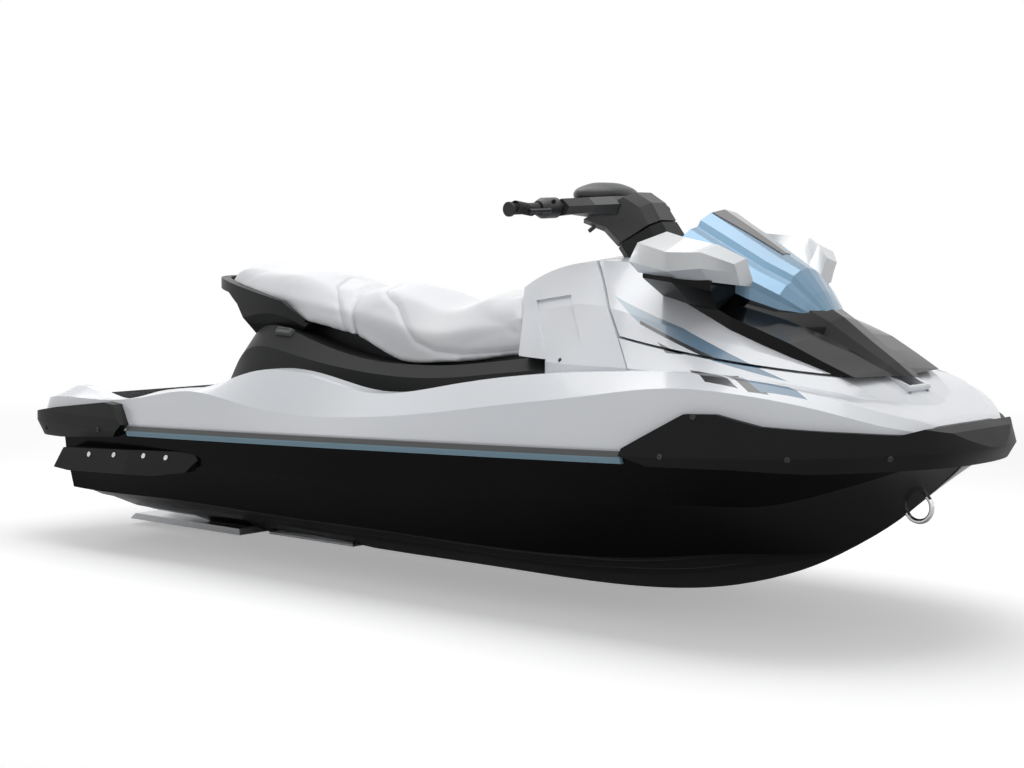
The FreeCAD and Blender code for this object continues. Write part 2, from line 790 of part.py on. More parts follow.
pad = loft([pad_ring(*line) for line in PAD_LINES])
shroud_top = shroud.fuse(pad)
bar = bar.cut(shroud_top)
bars = sorted(bar.Solids, key=lambda solid: solid.Volume)
piece("handlebar_pad", pad.cut(shroud))
bar = Part.makeCompound(bars[-2:])
piece("handlebar", bar)
grip_start = spot(grip_x, grip_half, grip_z)
grip_run = (bar_points[1] - bar_points[0]).normalize()
grip_run = V(grip_run.x, -grip_run.y, grip_run.z)
grip = Part.makeCylinder(size("grip_radius"), size("grip_length"), grip_start, grip_run)
grip = grip.fuse(Part.makeCylinder(size("grip_radius") + 5, 8, grip_start, grip_run)).cut(bar)
piece("grip_port", grip)
piece("grip_starboard", mirrored(grip))

# Controls: switch pods inside the grips, a throttle lever and a shift lever.
pod_at = bar_points[1]
outward = (bar_points[0] - bar_points[1]).normalize()
pod = Part.makeCylinder(30, 54, pod_at + outward * 34, outward * -1)
pod = pod.fuse(Part.makeCone(30, 22, 18, pod_at + outward * 34, outward)).cut(bar).cut(pad).cut(shroud)
piece("control_pod_starboard", largest(pod))
piece("control_pod_port", mirrored(largest(pod)))
lever_run = [pod_at + outward * 40 + V(30, 0, -4), pod_at + outward * 60 + V(52, 0, -6), pod_at + outward * 140 + V(46, 0, -6)]
lever = tube(lever_run, 6, 14).cut(pod)
piece("throttle_lever", largest(lever))
shift_lever = tube([tilted(88, -94, -46), tilted(86, -124, -58), tilted(84, -146, -58)], 6, 12)
piece("shift_lever", largest(shift_lever.cut(shroud)))

# Jet pump: barrel, flange, stator and tapered outlet.
barrel_start = spot(size("pump_front"), 0, jet)
outlet = size("outlet_bore") / 2
outlet_end = spot(size("outlet_station"), 0, jet)
tail_start = spot(size("gate_pivot") + 50, 0, jet)
AFT = V(-1, 0, 0)
taper_end = spot(size("gate_pivot") - 24, 0, jet)
taper_length = tail_start.x - taper_end.x
neck = outlet + 10
flange_at = spot(size("tunnel_front"), 0, jet)
gate_at = spot(size("gate_pivot"), 0, jet)
gate_half = size("gate_half_width")
boss_half = gate_half - size("moving_gap")
pump = Part.makeCylinder(barrel, barrel_start.x - tail_start.x, barrel_start, AFT)
pump = pump.fuse(Part.makeCone(barrel, neck, taper_length, tail_start, AFT))
pump = pump.fuse(rod(taper_end, outlet_end, neck))
pump = pump.fuse(Part.makeCylinder(size("flange_width") / 2, size("flange_thickness"), flange_at, AFT))
pump = pump.fuse(Part.makeCylinder(18, 2 * boss_half, gate_at - V(0, boss_half, 0), V(0, 1, 0)))
pin_half = gate_half + size("gate_wall") + 3
turn_half = neck + size("moving_gap") + 12
turn_at = outlet_end + V(10, 0, 0)
pump = pump.fuse(Part.makeCylinder(size("pin_radius"), 2 * pin_half, gate_at - V(0, pin_half, 0), V(0, 1, 0)))
pump = pump.fuse(Part.makeCylinder(size("pin_radius"), 2 * turn_half, turn_at - V(0, 0, turn_half), V(0, 0, 1)))
pump = pump.cut(Part.makeCylinder(bore, barrel_start.x - tail_start.x, barrel_start, AFT))
pump = pump.cut(Part.makeCone(bore, outlet, taper_length, tail_start, AFT))
pump = pump.cut(rod(taper_end, outlet_end, outlet))
hub = size("hub_radius")
vane_start = spot(size("tunnel_front") + 40, 0, jet)
stator = Part.makeCylinder(hub, 60, vane_start, AFT)
stator = stator.fuse(Part.makeCone(hub, 10, 70, vane_start + AFT * 60, AFT))
for index in range(6):
    vane = Part.makeBox(56, 5, bore - 6, vane_start + V(-58, -2.5, 8))
    vane.rotate(vane_start, V(1, 0, 0), index * 60)
    stator = stator.fuse(vane)
reachable = Part.makeCylinder(bore + 2, 400, barrel_start, AFT)
pump = pump.fuse(stator.common(reachable)).removeSplitter()
shaft_bore = Part.makeCylinder(size("shaft_radius") + 1, 40, vane_start + V(10, 0, 0), AFT)
pump = pump.cut(shaft_bore)
piece("pump_housing", pump)

# Impeller: hub, twisted blades and the drive shaft to the engine.
blade_tip = bore - size("tip_gap")
impeller_front = spot(size("pump_front") - 40, 0, jet)
impeller_length = 100
rotor = Part.makeCone(hub - 8, hub, impeller_length, impeller_front, AFT)


def blade(index):
    """Blade lofted through three turned sections along the shaft."""
    sections = []
    for step in range(4):
        corners = [V(0, -3, hub - 14), V(0, 3, hub - 14), V(0, 2, blade_tip), V(0, -2, blade_tip)]
        section = Part.makePolygon(corners + corners[:1])
        section.rotate(V(0, 0, 0), V(1, 0, 0), index * 360 / size("blade_count") + step * 30)
        section.translate(impeller_front + AFT * (12 + 26 * step))
        sections.append(section)
    return loft(sections)


for index in range(int(size("blade_count"))):
    rotor = rotor.fuse(blade(index))
tip_circle = Part.makeCylinder(blade_tip, 400, barrel_start + V(60, 0, 0), AFT)
rotor = rotor.common(tip_circle)
shaft_front = spot(size("bay_rear") + size("engine_end_room") - 1, 0, jet)
rotor = rotor.fuse(rod(spot(size("tunnel_front") + 36, 0, jet), shaft_front, size("shaft_radius")))
piece("impeller", rotor)

# Steering nozzle round the pump's outlet, turning on an upright pin.
nozzle_start = spot(size("outlet_station") + 22, 0, jet)
nozzle_tip = spot(size("nozzle_tip"), 0, jet)
socket = neck + size("moving_gap") + 4
nozzle_length = nozzle_start.x - nozzle_tip.x
nozzle_end = size("nozzle_bore") / 2
nozzle = Part.makeCone(socket + 8, nozzle_end + 5, nozzle_length, nozzle_start, AFT)
nozzle = nozzle.cut(Part.makeCone(socket, nozzle_end - 3, nozzle_length, nozzle_start, AFT))
pin_bore = size("pin_radius") + size("fit_gap")
nozzle = nozzle.cut(Part.makeCylinder(pin_bore, 400, turn_at - V(0, 0, 200), V(0, 0, 1)))
piece("steering_nozzle", nozzle)

# Reverse gate: a curved scoop on two arms, parked above the nozzle.
radius = size("gate_radius")
wall = size("gate_wall")
gate = Part.makeCylinder(radius + wall, 2 * gate_half, gate_at - V(0, gate_half, 0), V(0, 1, 0))
gate = gate.cut(Part.makeCylinder(radius, 2 * gate_half, gate_at - V(0, gate_half, 0), V(0, 1, 0)))
LOW = 40
HIGH = 100


def wedge(low, high, reach, half):
    """Sector about the gate's pins, from a low to a high angle above straight aft."""
    arc = [gate_at + V(-math.cos(math.radians(a)) * reach, 0, math.sin(math.radians(a)) * reach)
           for a in (low, (low + high) / 2, high)]
    face = Part.Face(Part.makePolygon([gate_at] + arc + [gate_at]))
    face.translate(V(0, -half, 0))
    return face.extrude(V(0, 2 * half, 0))


gate = gate.common(wedge(LOW, HIGH, 2 * radius, gate_half + wall))
arms = Part.makeCylinder(radius + wall, 2 * (gate_half + wall), gate_at - V(0, gate_half + wall, 0), V(0, 1, 0))
arms = arms.common(wedge(LOW + 12, HIGH - 12, 2 * radius, gate_half + wall))
arms = arms.cut(Part.makeBox(800, 2 * gate_half, 800, gate_at - V(400, gate_half, 400)))
arms = arms.fuse(Part.makeCylinder(20, 2 * (gate_half + wall), gate_at - V(0, gate_half + wall, 0), V(0, 1, 0)).cut(
    Part.makeBox(800, 2 * gate_half, 800, gate_at - V(400, gate_half, 400))))
gate = gate.fuse(arms).removeSplitter()
gate = gate.cut(Part.makeCylinder(pin_bore, 400, gate_at - V(0, 200, 0), V(0, 1, 0)))
piece("reverse_gate", gate)

# Ride plate and intake grate in the bottom.
ride_plate = prism([(60, 4), (640, 4), (640, 26), (90, 26)], -size("tunnel_half_width") + 8, size("tunnel_half_width") - 8)
ride_plate = ride_plate.cut(hull)
piece("ride_plate", largest(ride_plate))
grate = block((700, -60, 6), (1100, 60, 14))
for index in range(4):
    slot = block((715, -54 + index * 28, 0), (1085, -54 + index * 28 + 22, 20))
    grate = grate.cut(slot)
grate = grate.cut(hull)
piece("intake_grate", largest(grate))

# Tow eyes: round bar bent into rings, whose ends go into the hull.
EYE_OPENING = 20
EYE_STEPS = 24


def eyelet(centre, radius, bar, seat_angle):
    """Ring of bar with narrow flats, open where it is seated, at an angle from the bow."""
    rings = []
    for step in range(EYE_STEPS + 1):
        turn = math.radians(seat_angle + EYE_OPENING + (360 - 2 * EYE_OPENING) * step / EYE_STEPS)
        out = V(math.cos(turn), 0, math.sin(turn))
        flats = [math.radians(36 * count) for count in range(10)]
        section = [centre + out * (radius + bar * math.cos(flat)) + V(0, bar * math.sin(flat), 0) for flat in flats]
        rings.append(Part.makePolygon(section + section[:1]))
    return Part.makeLoft(rings, True, True)


piece("bow_eye", largest(eyelet(spot(3125, 0, 330), 38, 7, 135).cut(hull)))
stern_eye = largest(eyelet(spot(size("transom_station"), 330, 285), 24, 6, 0).cut(body))
piece("stern_eye_port", stern_eye)
piece("stern_eye_starboard", mirrored(stern_eye))

# Fairing: gloss black cap over the hood, with a raised spine and a flat on each side that ends in a lip.
# Each line gives the station, then crown height, spine, valley and edge as half-widths and heights.
FAIRING_LINES = (
    (2462, 996, (110, 984), (196, 926), (226, 896)),
    (2600, 962, (108, 948), (232, 886), (254, 866)),
    (2704, 918, (102, 904), (204, 848), (271, 824)),
    (2800, 868, (88, 856), (152, 816), (272, 792)),
    (2887, 822, (72, 810), (100, 776), (266, 760)),
    (2969, 764, (60, 756), (82, 736), (250, 720)),
    (3053, 708, (46, 702), (66, 690), (225, 680)),
    (3116, 662, (32, 658), (48, 650), (150, 648)),
    (3164, 622, (14, 620), (24, 616), (52, 616)),
)
WING_LINES = (
    (2462, (226, 866), (332, 922), (332, 936)),
    (2570, (250, 850), (350, 912), (350, 932)),
    (2660, (262, 836), (300, 890), (300, 918)),
)


def fairing_ring(station, crown, spine, valley, edge):
    return ring(station, [(edge[0], 500), edge, valley, spine, (0, crown)])


def wing_ring(station, foot, lip, top):
    points = [spot(station, side, height) for side, height in ((140, foot[1]), foot, lip, top, (140, top[1]))]
    return Part.makePolygon(points + points[:1])


wing = loft([wing_ring(*line) for line in WING_LINES], True)
fairing = loft([fairing_ring(*line) for line in FAIRING_LINES], True).fuse(wing).fuse(mirrored(wing))
fairing = fairing.cut(bow_body()).cut(hood)
pin_room = Part.makeCylinder(HINGE_RADIUS + 4, 2 * HINGE_HALF + 2, spot(HOOD_PIN[0], -HINGE_HALF - 1, HOOD_PIN[1]), V(0, 1, 0))
fairing = fairing.cut(pin_room)
fairing = largest(fairing.common(hood_space(size("hood_gap"))).removeSplitter())

# Visor: half-widths and heights from the crown outwards, over two steps, down to its lower edge.
VISOR_LINES = (
    (2496, (0, 1108), (62, 1099), (112, 1078), (126, 1060), (160, 1053), (198, 1032), (196, 1006)),
    (2600, (0, 1050), (60, 1042), (108, 1024), (122, 1006), (154, 998), (194, 974), (192, 952)),
    (2700, (0, 990), (50, 984), (95, 968), (108, 951), (136, 943), (176, 920), (174, 900)),
    (2774, (0, 950), (38, 944), (72, 930), (84, 913), (108, 905), (142, 880), (140, 862)),
    (2822, (0, 890), (26, 886), (50, 876), (60, 864), (78, 858), (104, 842), (102, 832)),
    (2853, (0, 838), (14, 837), (28, 834), (34, 828), (44, 825), (60, 818), (58, 812)),
)


def visor_ring(station, crown, *outline, sink=0):
    outline = [(side - sink, height - sink) for side, height in reversed(outline)]
    return ring(station, [(outline[0][0], 700)] + outline + [(0, crown[1] - sink)])


visor_outside = loft([visor_ring(*line) for line in VISOR_LINES], True)
visor = visor_outside.cut(bow_body()).cut(fairing)
NICHE_FRONT = 2552
NICHE_WALL = 9
niche = loft([visor_ring(*line, sink=NICHE_WALL) for line in VISOR_LINES[:2]], True)
niche = niche.common(block((2400, -FAR, 900), (NICHE_FRONT, FAR, 1400)))
visor = largest(visor.cut(niche).removeSplitter())
insert_plan = [spot(2500, -60, 700), spot(2500, 60, 700), spot(2706, 18, 700), spot(2706, -18, 700)]
insert_room = Part.Face(Part.makePolygon(insert_plan + insert_plan[:1])).extrude(V(0, 0, 600))
raised = visor_outside.copy()
raised.translate(V(0, 0, 3))
insert = largest(raised.cut(visor_outside).common(insert_room))
panel = block((NICHE_FRONT - 12, -118, 900), (NICHE_FRONT, 118, 1066)).common(niche).cut(fairing).cut(bow_body())
panel = largest(panel)

# Mirror pods: faceted housings on the fairing's wings, each with its glass facing the rider.
MIRROR_LINES = (
    (2450, (190, 934), (336, 936), (380, 966), (340, 1016), (206, 1046)),
    (2585, (190, 930), (345, 922), (390, 942), (398, 993), (312, 1031)),
    (2652, (170, 915), (300, 915), (334, 950), (334, 992), (252, 1012)),
    (2708, (160, 900), (232, 905), (247, 938), (262, 962), (204, 976)),
)
GLASS_INSET = 8
GLASS_DEPTH = 5


def mirror_ring(station, *outline):
    points = [spot(station, side, height) for side, height in outline]
    return Part.makePolygon(points + points[:1])


mirror = loft([mirror_ring(*line) for line in MIRROR_LINES], True)
mirror = mirror.cut(bow_body()).cut(fairing).cut(visor).cut(insert)
mirror = largest(mirror)
glass_rim = mirror_ring(MIRROR_LINES[0][0], *MIRROR_LINES[0][1:]).makeOffset2D(-GLASS_INSET)
glass_room = Part.Face(glass_rim).extrude(V(GLASS_DEPTH, 0, 0))
glass = largest(mirror.common(glass_room).common(block((2400, 206, 900), (2500, FAR, 1200))))
mirror = largest(mirror.cut(glass))
piece("hood_fairing", fairing)
piece("visor", visor)
piece("visor_insert", insert)
piece("instrument_panel", panel)
for side_name, sign in SIDES.items():
    piece(f"mirror_housing_{side_name}", mirror if sign > 0 else mirrored(mirror))
    piece(f"mirror_glass_{side_name}", glass if sign > 0 else mirrored(glass))


doc.recompute()
for item in pieces:
    if "Invalid" in item.State or "Error" in item.State:
        raise RuntimeError(f"{item.Label} failed")
    if item.Shape.isNull() or not item.Shape.isValid():
        raise RuntimeError(f"{item.Label} is not a valid shape")
    print(item.Label, len(item.Shape.Solids), round(item.Shape.Volume / 1e6, 3))
    item.Shape.exportStep(f"parts/{item.Label}.step")
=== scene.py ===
# %% [markdown]
# A personal watercraft is a small moulded boat that three people sit astride, driven by a water jet. The
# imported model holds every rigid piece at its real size, so this lesson starts from that frame, finishes
# each surface, and adds the soft seats, mat bars, screws and small trim that are made in Blender. The box
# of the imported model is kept, because the dressed craft has to stay inside it.

# %% Load the frame
import json
import math

import bpy
import numpy as np
from mathutils import Matrix, Vector
from mathutils.bvhtree import BVHTree


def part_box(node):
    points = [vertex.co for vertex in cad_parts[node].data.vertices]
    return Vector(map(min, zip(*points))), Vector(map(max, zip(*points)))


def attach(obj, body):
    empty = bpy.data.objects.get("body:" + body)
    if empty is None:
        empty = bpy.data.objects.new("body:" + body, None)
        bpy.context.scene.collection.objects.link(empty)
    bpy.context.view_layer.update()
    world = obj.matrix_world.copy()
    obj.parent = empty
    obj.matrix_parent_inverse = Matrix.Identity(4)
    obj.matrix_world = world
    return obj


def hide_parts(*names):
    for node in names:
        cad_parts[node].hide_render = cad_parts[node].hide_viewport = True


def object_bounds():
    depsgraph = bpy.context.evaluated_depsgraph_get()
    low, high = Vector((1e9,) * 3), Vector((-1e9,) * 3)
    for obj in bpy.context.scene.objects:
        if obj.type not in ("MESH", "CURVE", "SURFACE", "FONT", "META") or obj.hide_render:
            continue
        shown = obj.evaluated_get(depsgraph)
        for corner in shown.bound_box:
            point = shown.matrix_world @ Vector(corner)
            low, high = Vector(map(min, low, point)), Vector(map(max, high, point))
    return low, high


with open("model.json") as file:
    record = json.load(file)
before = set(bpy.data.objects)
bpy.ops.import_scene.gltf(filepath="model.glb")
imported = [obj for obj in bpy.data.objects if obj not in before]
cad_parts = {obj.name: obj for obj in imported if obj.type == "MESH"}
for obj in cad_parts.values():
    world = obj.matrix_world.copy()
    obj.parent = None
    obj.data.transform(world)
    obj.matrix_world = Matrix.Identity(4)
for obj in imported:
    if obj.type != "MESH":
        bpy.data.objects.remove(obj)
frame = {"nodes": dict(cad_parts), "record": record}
cad_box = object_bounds()
nodes = frame["nodes"]
scene = bpy.context.scene
scene.view_settings.view_transform = "Standard"
print("nodes:", len(nodes), "box:", cad_box)

# %% [markdown]
# The camera stands off the starboard bow, low and about six metres away, with a long lens. It could be
# moved by eye until the picture looks right, but a small error in a camera spoils every later comparison.
# Its place and turn were worked out instead, from points of the craft whose real places are known. The
# world frame has the bow at +X, port at +Y and the waterline at zero.

# %% Camera
CAMERA_PLACE = Vector((3.898, -4.571, 0.805))
CAMERA_TURN = math.radians(40.08)
CAMERA_DIP = math.radians(4.6)
CAMERA_ROLL = math.radians(0.4)
LENS_MM = 68.54
SENSOR_MM = 36

ahead = Vector((
    -math.sin(CAMERA_TURN) * math.cos(CAMERA_DIP),
    math.cos(CAMERA_TURN) * math.cos(CAMERA_DIP),
    -math.sin(CAMERA_DIP),
))
level = Vector((math.cos(CAMERA_TURN), math.sin(CAMERA_TURN), 0))
upward = level.cross(ahead)
across = level * math.cos(CAMERA_ROLL) + upward * math.sin(CAMERA_ROLL)
upright = upward * math.cos(CAMERA_ROLL) - level * math.sin(CAMERA_ROLL)
camera_data = bpy.data.cameras.new("camera")
camera_data.lens = LENS_MM
camera_data.sensor_width = SENSOR_MM
camera = bpy.data.objects.new("camera", camera_data)
turn = Matrix((across, upright, -ahead)).transposed()
camera.matrix_world = Matrix.Translation(CAMERA_PLACE) @ turn.to_4x4()
scene.collection.objects.link(camera)
scene.camera = camera
print("camera", round(CAMERA_PLACE.length, 2), "m from the middle of the craft")

# %% [markdown]
# A colour, a roughness or a bump comes from a small net of shader nodes. A net could be wired node by
# node, but written as Python expressions it reads like the sum that it is. Term wraps one number socket
# and overloads the signs of arithmetic, so that 1 - mask adds the Math node that it needs.

# %% Numbers on sockets
class Term:
    """A number on a shader socket. Arithmetic on it adds Math nodes."""

    def __init__(self, finish, socket):
        self.finish = finish
        self.socket = socket

    def maths(self, operation, first, second=0.0):
        return self.finish.node("Math", {"operation": operation}, {0: first, 1: second})

    def __add__(self, other):
        return self.maths("ADD", self, other)

    __radd__ = __add__

    def __sub__(self, other):
        return self.maths("SUBTRACT", self, other)

    def __rsub__(self, other):
        return self.maths("SUBTRACT", other, self)

    def __mul__(self, other):
        return self.maths("MULTIPLY", self, other)

    __rmul__ = __mul__

    def above(self, edge, soft):
        """1 where the number is above the edge, 0 where it is below, with a soft step between."""
        return self.finish.node("MapRange", {"interpolation_type": "SMOOTHSTEP"}, {
            "Value": self, "From Min": edge - soft, "From Max": edge + soft, "To Min": 0.0, "To Max": 1.0})

    def wave(self, length, sharp=1.0):
        """A ripple from 0 to 1 that repeats once in each length."""
        ripple = self.maths("SINE", self * (2 * math.pi / length)) * 0.5 + 0.5
        return self.maths("POWER", ripple, sharp)


# %% [markdown]
# A Finish is one material around a Principled shader. Its method node adds any kind of node, with the
# settings before the values, because a setting such as a Mix node's data type decides which sockets
# count. Patterns read Object coordinates, which are metres here, so a grain keeps its real size on every
# piece. A value that is the same all over goes straight onto its socket, and only what changes over the
# surface is linked.

# %% One finish
# Places of the colour sockets on a Mix node, which has others with the same names.
MIX_SHARE = 0
MIX_FIRST = 6
MIX_SECOND = 7
MIX_RESULT = 2
OUTLINE_EDGE = 0.0007


def colour(value):
    """A colour given as three numbers gets its fourth, and a link stays as it is."""
    return value if isinstance(value, Term) else (*value, 1.0)


def times(base, share):
    """The same colour with each of its three numbers times a share."""
    return tuple(part * share for part in base)


class Finish:
    """One material, built node by node around a Principled shader."""

    def __init__(self, name):
        self.material = bpy.data.materials.new(name)
        self.material.use_nodes = True
        self.tree = self.material.node_tree
        self.shader = self.tree.nodes["Principled BSDF"]
        self.place = self.node("TexCoord", {}, {}, "Object")
        split = self.node("SeparateXYZ", {}, {0: self.place}, None)
        self.x = Term(self, split.outputs[0])
        self.y = Term(self, split.outputs[1])
        self.z = Term(self, split.outputs[2])

    def node(self, kind, settings, inputs, output=0):
        """A new node's output as a Term, or the node itself where the output is None."""
        made = self.tree.nodes.new("ShaderNode" + kind)
        for key, value in settings.items():
            setattr(made, key, value)
        for key, value in inputs.items():
            self.feed(made.inputs[key], value)
        if output is None:
            return made
        return Term(self, made.outputs[output])

    def feed(self, socket, value):
        """A link for a Term, and a plain value for anything else."""
        if isinstance(value, Term):
            self.tree.links.new(value.socket, socket)
        else:
            socket.default_value = value

    def set(self, **sockets):
        """The Principled shader's sockets, by their names in small letters."""
        for key, value in sockets.items():
            name = " ".join(word.upper() if word == "ior" else word.capitalize() for word in key.split("_"))
            self.feed(self.shader.inputs[name], value)

    def noise(self, scale, detail=2.0):
        """Cloudy noise, with so many clouds to the metre."""
        return self.node("TexNoise", {}, {"Vector": self.place, "Scale": scale, "Detail": detail})

    def cells(self, scale, feature="F1"):
        """Distance from the middles of small cells, with so many to the metre."""
        return self.node("TexVoronoi", {"feature": feature}, {"Vector": self.place, "Scale": scale})

    def inside(self, across, up, corners):
        """1 inside a convex outline, whose corners go round clockwise, and 0 outside it."""
        share = 1.0
        for (left, low), (right, high) in zip(corners, corners[1:] + corners[:1]):
            run = math.hypot(right - left, high - low)
            depth = (across - left) * ((high - low) / run) - (up - low) * ((right - left) / run)
            share = depth.above(0.0, OUTLINE_EDGE) * share
        return share

    def mix(self, share, first, second):
        """Colour that goes from the first to the second as share goes from 0 to 1."""
        return self.node("Mix", {"data_type": "RGBA"}, {
            MIX_SHARE: share, MIX_FIRST: colour(first), MIX_SECOND: colour(second)}, MIX_RESULT)

    def bump(self, height, depth, strength):
        """Bump of a height from 0 to 1 that stands for a depth in metres."""
        self.set(normal=self.node("Bump", {}, {"Height": height, "Distance": depth, "Strength": strength}))


# %% [markdown]
# Hull and deck are moulded in a gloss gelcoat. A flat colour under a perfect gloss would look like a
# drawing. New gelcoat has a very faint ripple, and a few marks of handling change its gloss by a little,
# so both are in the finish. The hull is black and seen against a white room, so it reflects less than a
# clear coat would, or it would turn grey.

# %% Gelcoat finishes
GELCOAT_CLOUDS = 2.2
GELCOAT_MARKS = 9
MARK_GLOSS = 0.06
RIPPLES = 120
RIPPLE_DEPTH = 0.00012


def gelcoat(name, base, shade, rough, level, coat):
    """Gloss between two near colours. Level is how much it reflects, coat the weight of the clear layer."""
    finish = Finish(name)
    finish.shade = finish.mix(finish.noise(GELCOAT_CLOUDS, 3).above(0.52, 0.3), base, shade)
    finish.set(
        base_color=finish.shade,
        roughness=finish.noise(GELCOAT_MARKS, 3) * MARK_GLOSS + rough,
        specular_ior_level=level,
        coat_weight=coat,
        coat_roughness=0.04,
    )
    finish.bump(finish.noise(RIPPLES, 2), RIPPLE_DEPTH, 0.5)
    return finish


hull_paint = gelcoat("gelcoat_black", (0.0016, 0.0016, 0.0018), (0.0028, 0.0028, 0.003), 0.16, 0.055, 0.0)
deck_paint = gelcoat("gelcoat_white", (0.79, 0.81, 0.845), (0.75, 0.775, 0.815), 0.2, 0.5, 0.3)
print("gelcoats:", hull_paint.material.name, deck_paint.material.name)

# %% [markdown]
# The white gelcoat carries a printed stripe on each side of the hood, steel blue at the front and paler
# at the rear, with black wedges under it. It could be cut out as thin pieces, but such a film has no
# thickness that shows, so it is only a colour. Its outlines are convex, and each is the product of a few
# half planes. On the hood's flank they are drawn from the side, and on the nearly level deck below it
# they are drawn from above.

# %% Side stripe
STRIPE = [(0.628, 0.616), (0.915, 0.541), (1.262, 0.419), (1.047, 0.466), (0.778, 0.547)]
STRIPE_LINE = [(0.772, 0.556), (1.05, 0.473), (1.047, 0.466), (0.778, 0.547)]
STRIPE_WEDGE = [(0.865, 0.504), (0.965, 0.476), (0.913, 0.478)]
DECK_WEDGES = (
    [(1.015, 0.432), (1.109, 0.499), (1.202, 0.489), (1.086, 0.425)],
    [(1.109, 0.423), (1.232, 0.489), (1.280, 0.468), (1.145, 0.404)],
)
DECK_BLUE = [(1.174, 0.434), (1.256, 0.471), (1.360, 0.416), (1.288, 0.394)]
STRIPE_BLACK = (0.01, 0.011, 0.013)
STRIPE_STEEL = (0.105, 0.205, 0.31)
STRIPE_PALE = (0.42, 0.52, 0.6)
FADE_MIDDLE = 0.86
FADE_HALF = 0.22
FLANK_FROM = 0.236
DECK_FROM = 0.36
DECK_TO = 0.456

breadth = deck_paint.y.maths("ABSOLUTE", deck_paint.y)
flank = breadth.above(FLANK_FROM, 0.002)
fade = deck_paint.x.above(FADE_MIDDLE, FADE_HALF)
stripe_colour = deck_paint.mix(fade, STRIPE_PALE, STRIPE_STEEL)
layers = [(deck_paint.inside(deck_paint.x, deck_paint.z, STRIPE) * flank, stripe_colour)]
for outline in (STRIPE_LINE, STRIPE_WEDGE):
    layers.append((deck_paint.inside(deck_paint.x, deck_paint.z, outline), STRIPE_BLACK))
level_part = deck_paint.z.above(DECK_FROM, 0.004) * (1 - deck_paint.z.above(DECK_TO, 0.004))
for outline in DECK_WEDGES:
    layers.append((deck_paint.inside(deck_paint.x, breadth, outline) * level_part, STRIPE_BLACK))
layers.append((deck_paint.inside(deck_paint.x, breadth, DECK_BLUE) * level_part, STRIPE_STEEL))
painted = deck_paint.shade
for share, film in layers:
    painted = deck_paint.mix(share, painted, film)
deck_paint.set(base_color=painted)
print("stripe layers:", len(layers))

# %% [markdown]
# Bumpers, seat base and handlebar covers are unpainted plastic. A plain dark colour would show a hard,
# wet highlight. Moulded plastic has a fine leather grain, which spreads its highlight, so each finish
# names its own grain, in cells to the metre. The cast engine block has the same kind of skin, only
# coarser.

# %% Plastics
RAIL_GREY = (0.088, 0.09, 0.092)


def moulded(name, base, rough, grain, depth, level=0.5):
    """Grained plastic. A cloud lightens it and changes its gloss by a little."""
    finish = Finish(name)
    pits = finish.cells(grain)
    cloud = finish.noise(6, 4)
    finish.set(
        base_color=finish.mix(cloud.above(0.5, 0.25), base, times(base, 1.3)),
        roughness=cloud * 0.14 + rough,
        specular_ior_level=level,
    )
    finish.bump(pits * 0.7 + finish.noise(grain * 0.6) * 0.3, depth, 0.6)
    return finish


trim = moulded("plastic_charcoal", (0.010, 0.0104, 0.011), 0.36, 700, 0.0003, 0.22)
# The covers' lighter grey is partly their own colour and partly a painted highlight of the top lamp.
bar_trim = moulded("plastic_bar_covers", (0.022, 0.0225, 0.0235), 0.32, 800, 0.0002, 0.5)
bumper = moulded("plastic_bumper", (0.0045, 0.0047, 0.005), 0.4, 520, 0.0004, 0.16)
rail_plastic = moulded("plastic_rail", RAIL_GREY, 0.4, 700, 0.0002)
engine_finish = moulded("engine_casting", (0.06, 0.06, 0.063), 0.5, 160, 0.001)
fairing = gelcoat("plastic_black_gloss", (0.0012, 0.0013, 0.0016), (0.0022, 0.0022, 0.0026), 0.08, 0.11, 0.06)
panel = gelcoat("panel_black", (0.006, 0.006, 0.007), (0.008, 0.008, 0.009), 0.2, 0.5, 0.2)
print("plastics:", trim.material.name, bumper.material.name, rail_plastic.material.name)

# %% [markdown]
# The rub rail is moulded in one piece and printed in two colours: grey along its top and pale blue below.
# Two pieces would need a joint that the real one hasn't got. The craft's joint rises evenly towards the
# bow, so the edge between the colours is a sloping plane, and height less slope tells which side of it a
# point is on.

# %% Rub rail colours
RAIL_RISE = 0.0398
RAIL_EDGE = 0.1827
RAIL_BLUE = (0.16, 0.27, 0.34)
over_edge = (rail_plastic.z - rail_plastic.x * RAIL_RISE).above(RAIL_EDGE, 0.0006)
rail_plastic.set(base_color=rail_plastic.mix(over_edge, RAIL_BLUE, RAIL_GREY))
print("rail edge rises", round(RAIL_RISE * (cad_box[1][0] - cad_box[0][0]), 3), "m from stern to bow")

# %% [markdown]
# The metals differ in how they were made, and their grain shows it. The pump is cast aluminium with a
# sandy skin, the impeller is turned and polished, the handlebar is black anodised, and the eyes are
# chromed steel.

# %% Metals
def metal(name, base, rough, spread, grain, depth):
    """Metal whose gloss varies by a spread, with a sandy grain of that many specks to the metre."""
    finish = Finish(name)
    sand = finish.noise(grain, 3)
    finish.set(
        base_color=finish.mix(sand, base, times(base, 0.82)),
        metallic=1.0,
        roughness=finish.noise(14, 3) * spread + rough,
    )
    finish.bump(sand, depth, 0.5)
    return finish


cast = metal("aluminium_cast", (0.62, 0.63, 0.65), 0.36, 0.16, 420, 0.0004)
steel = metal("steel_turned", (0.64, 0.64, 0.65), 0.2, 0.12, 900, 0.0001)
chrome = metal("chrome", (0.82, 0.82, 0.84), 0.05, 0.05, 200, 0.00002)
bar_metal = metal("aluminium_black", (0.05, 0.05, 0.053), 0.34, 0.1, 900, 0.00008)
mirror_face = metal("mirror_glass", (0.86, 0.88, 0.9), 0.02, 0.01, 60, 0.00001)
print("metals:", cast.material.name, steel.material.name, chrome.material.name, bar_metal.material.name)

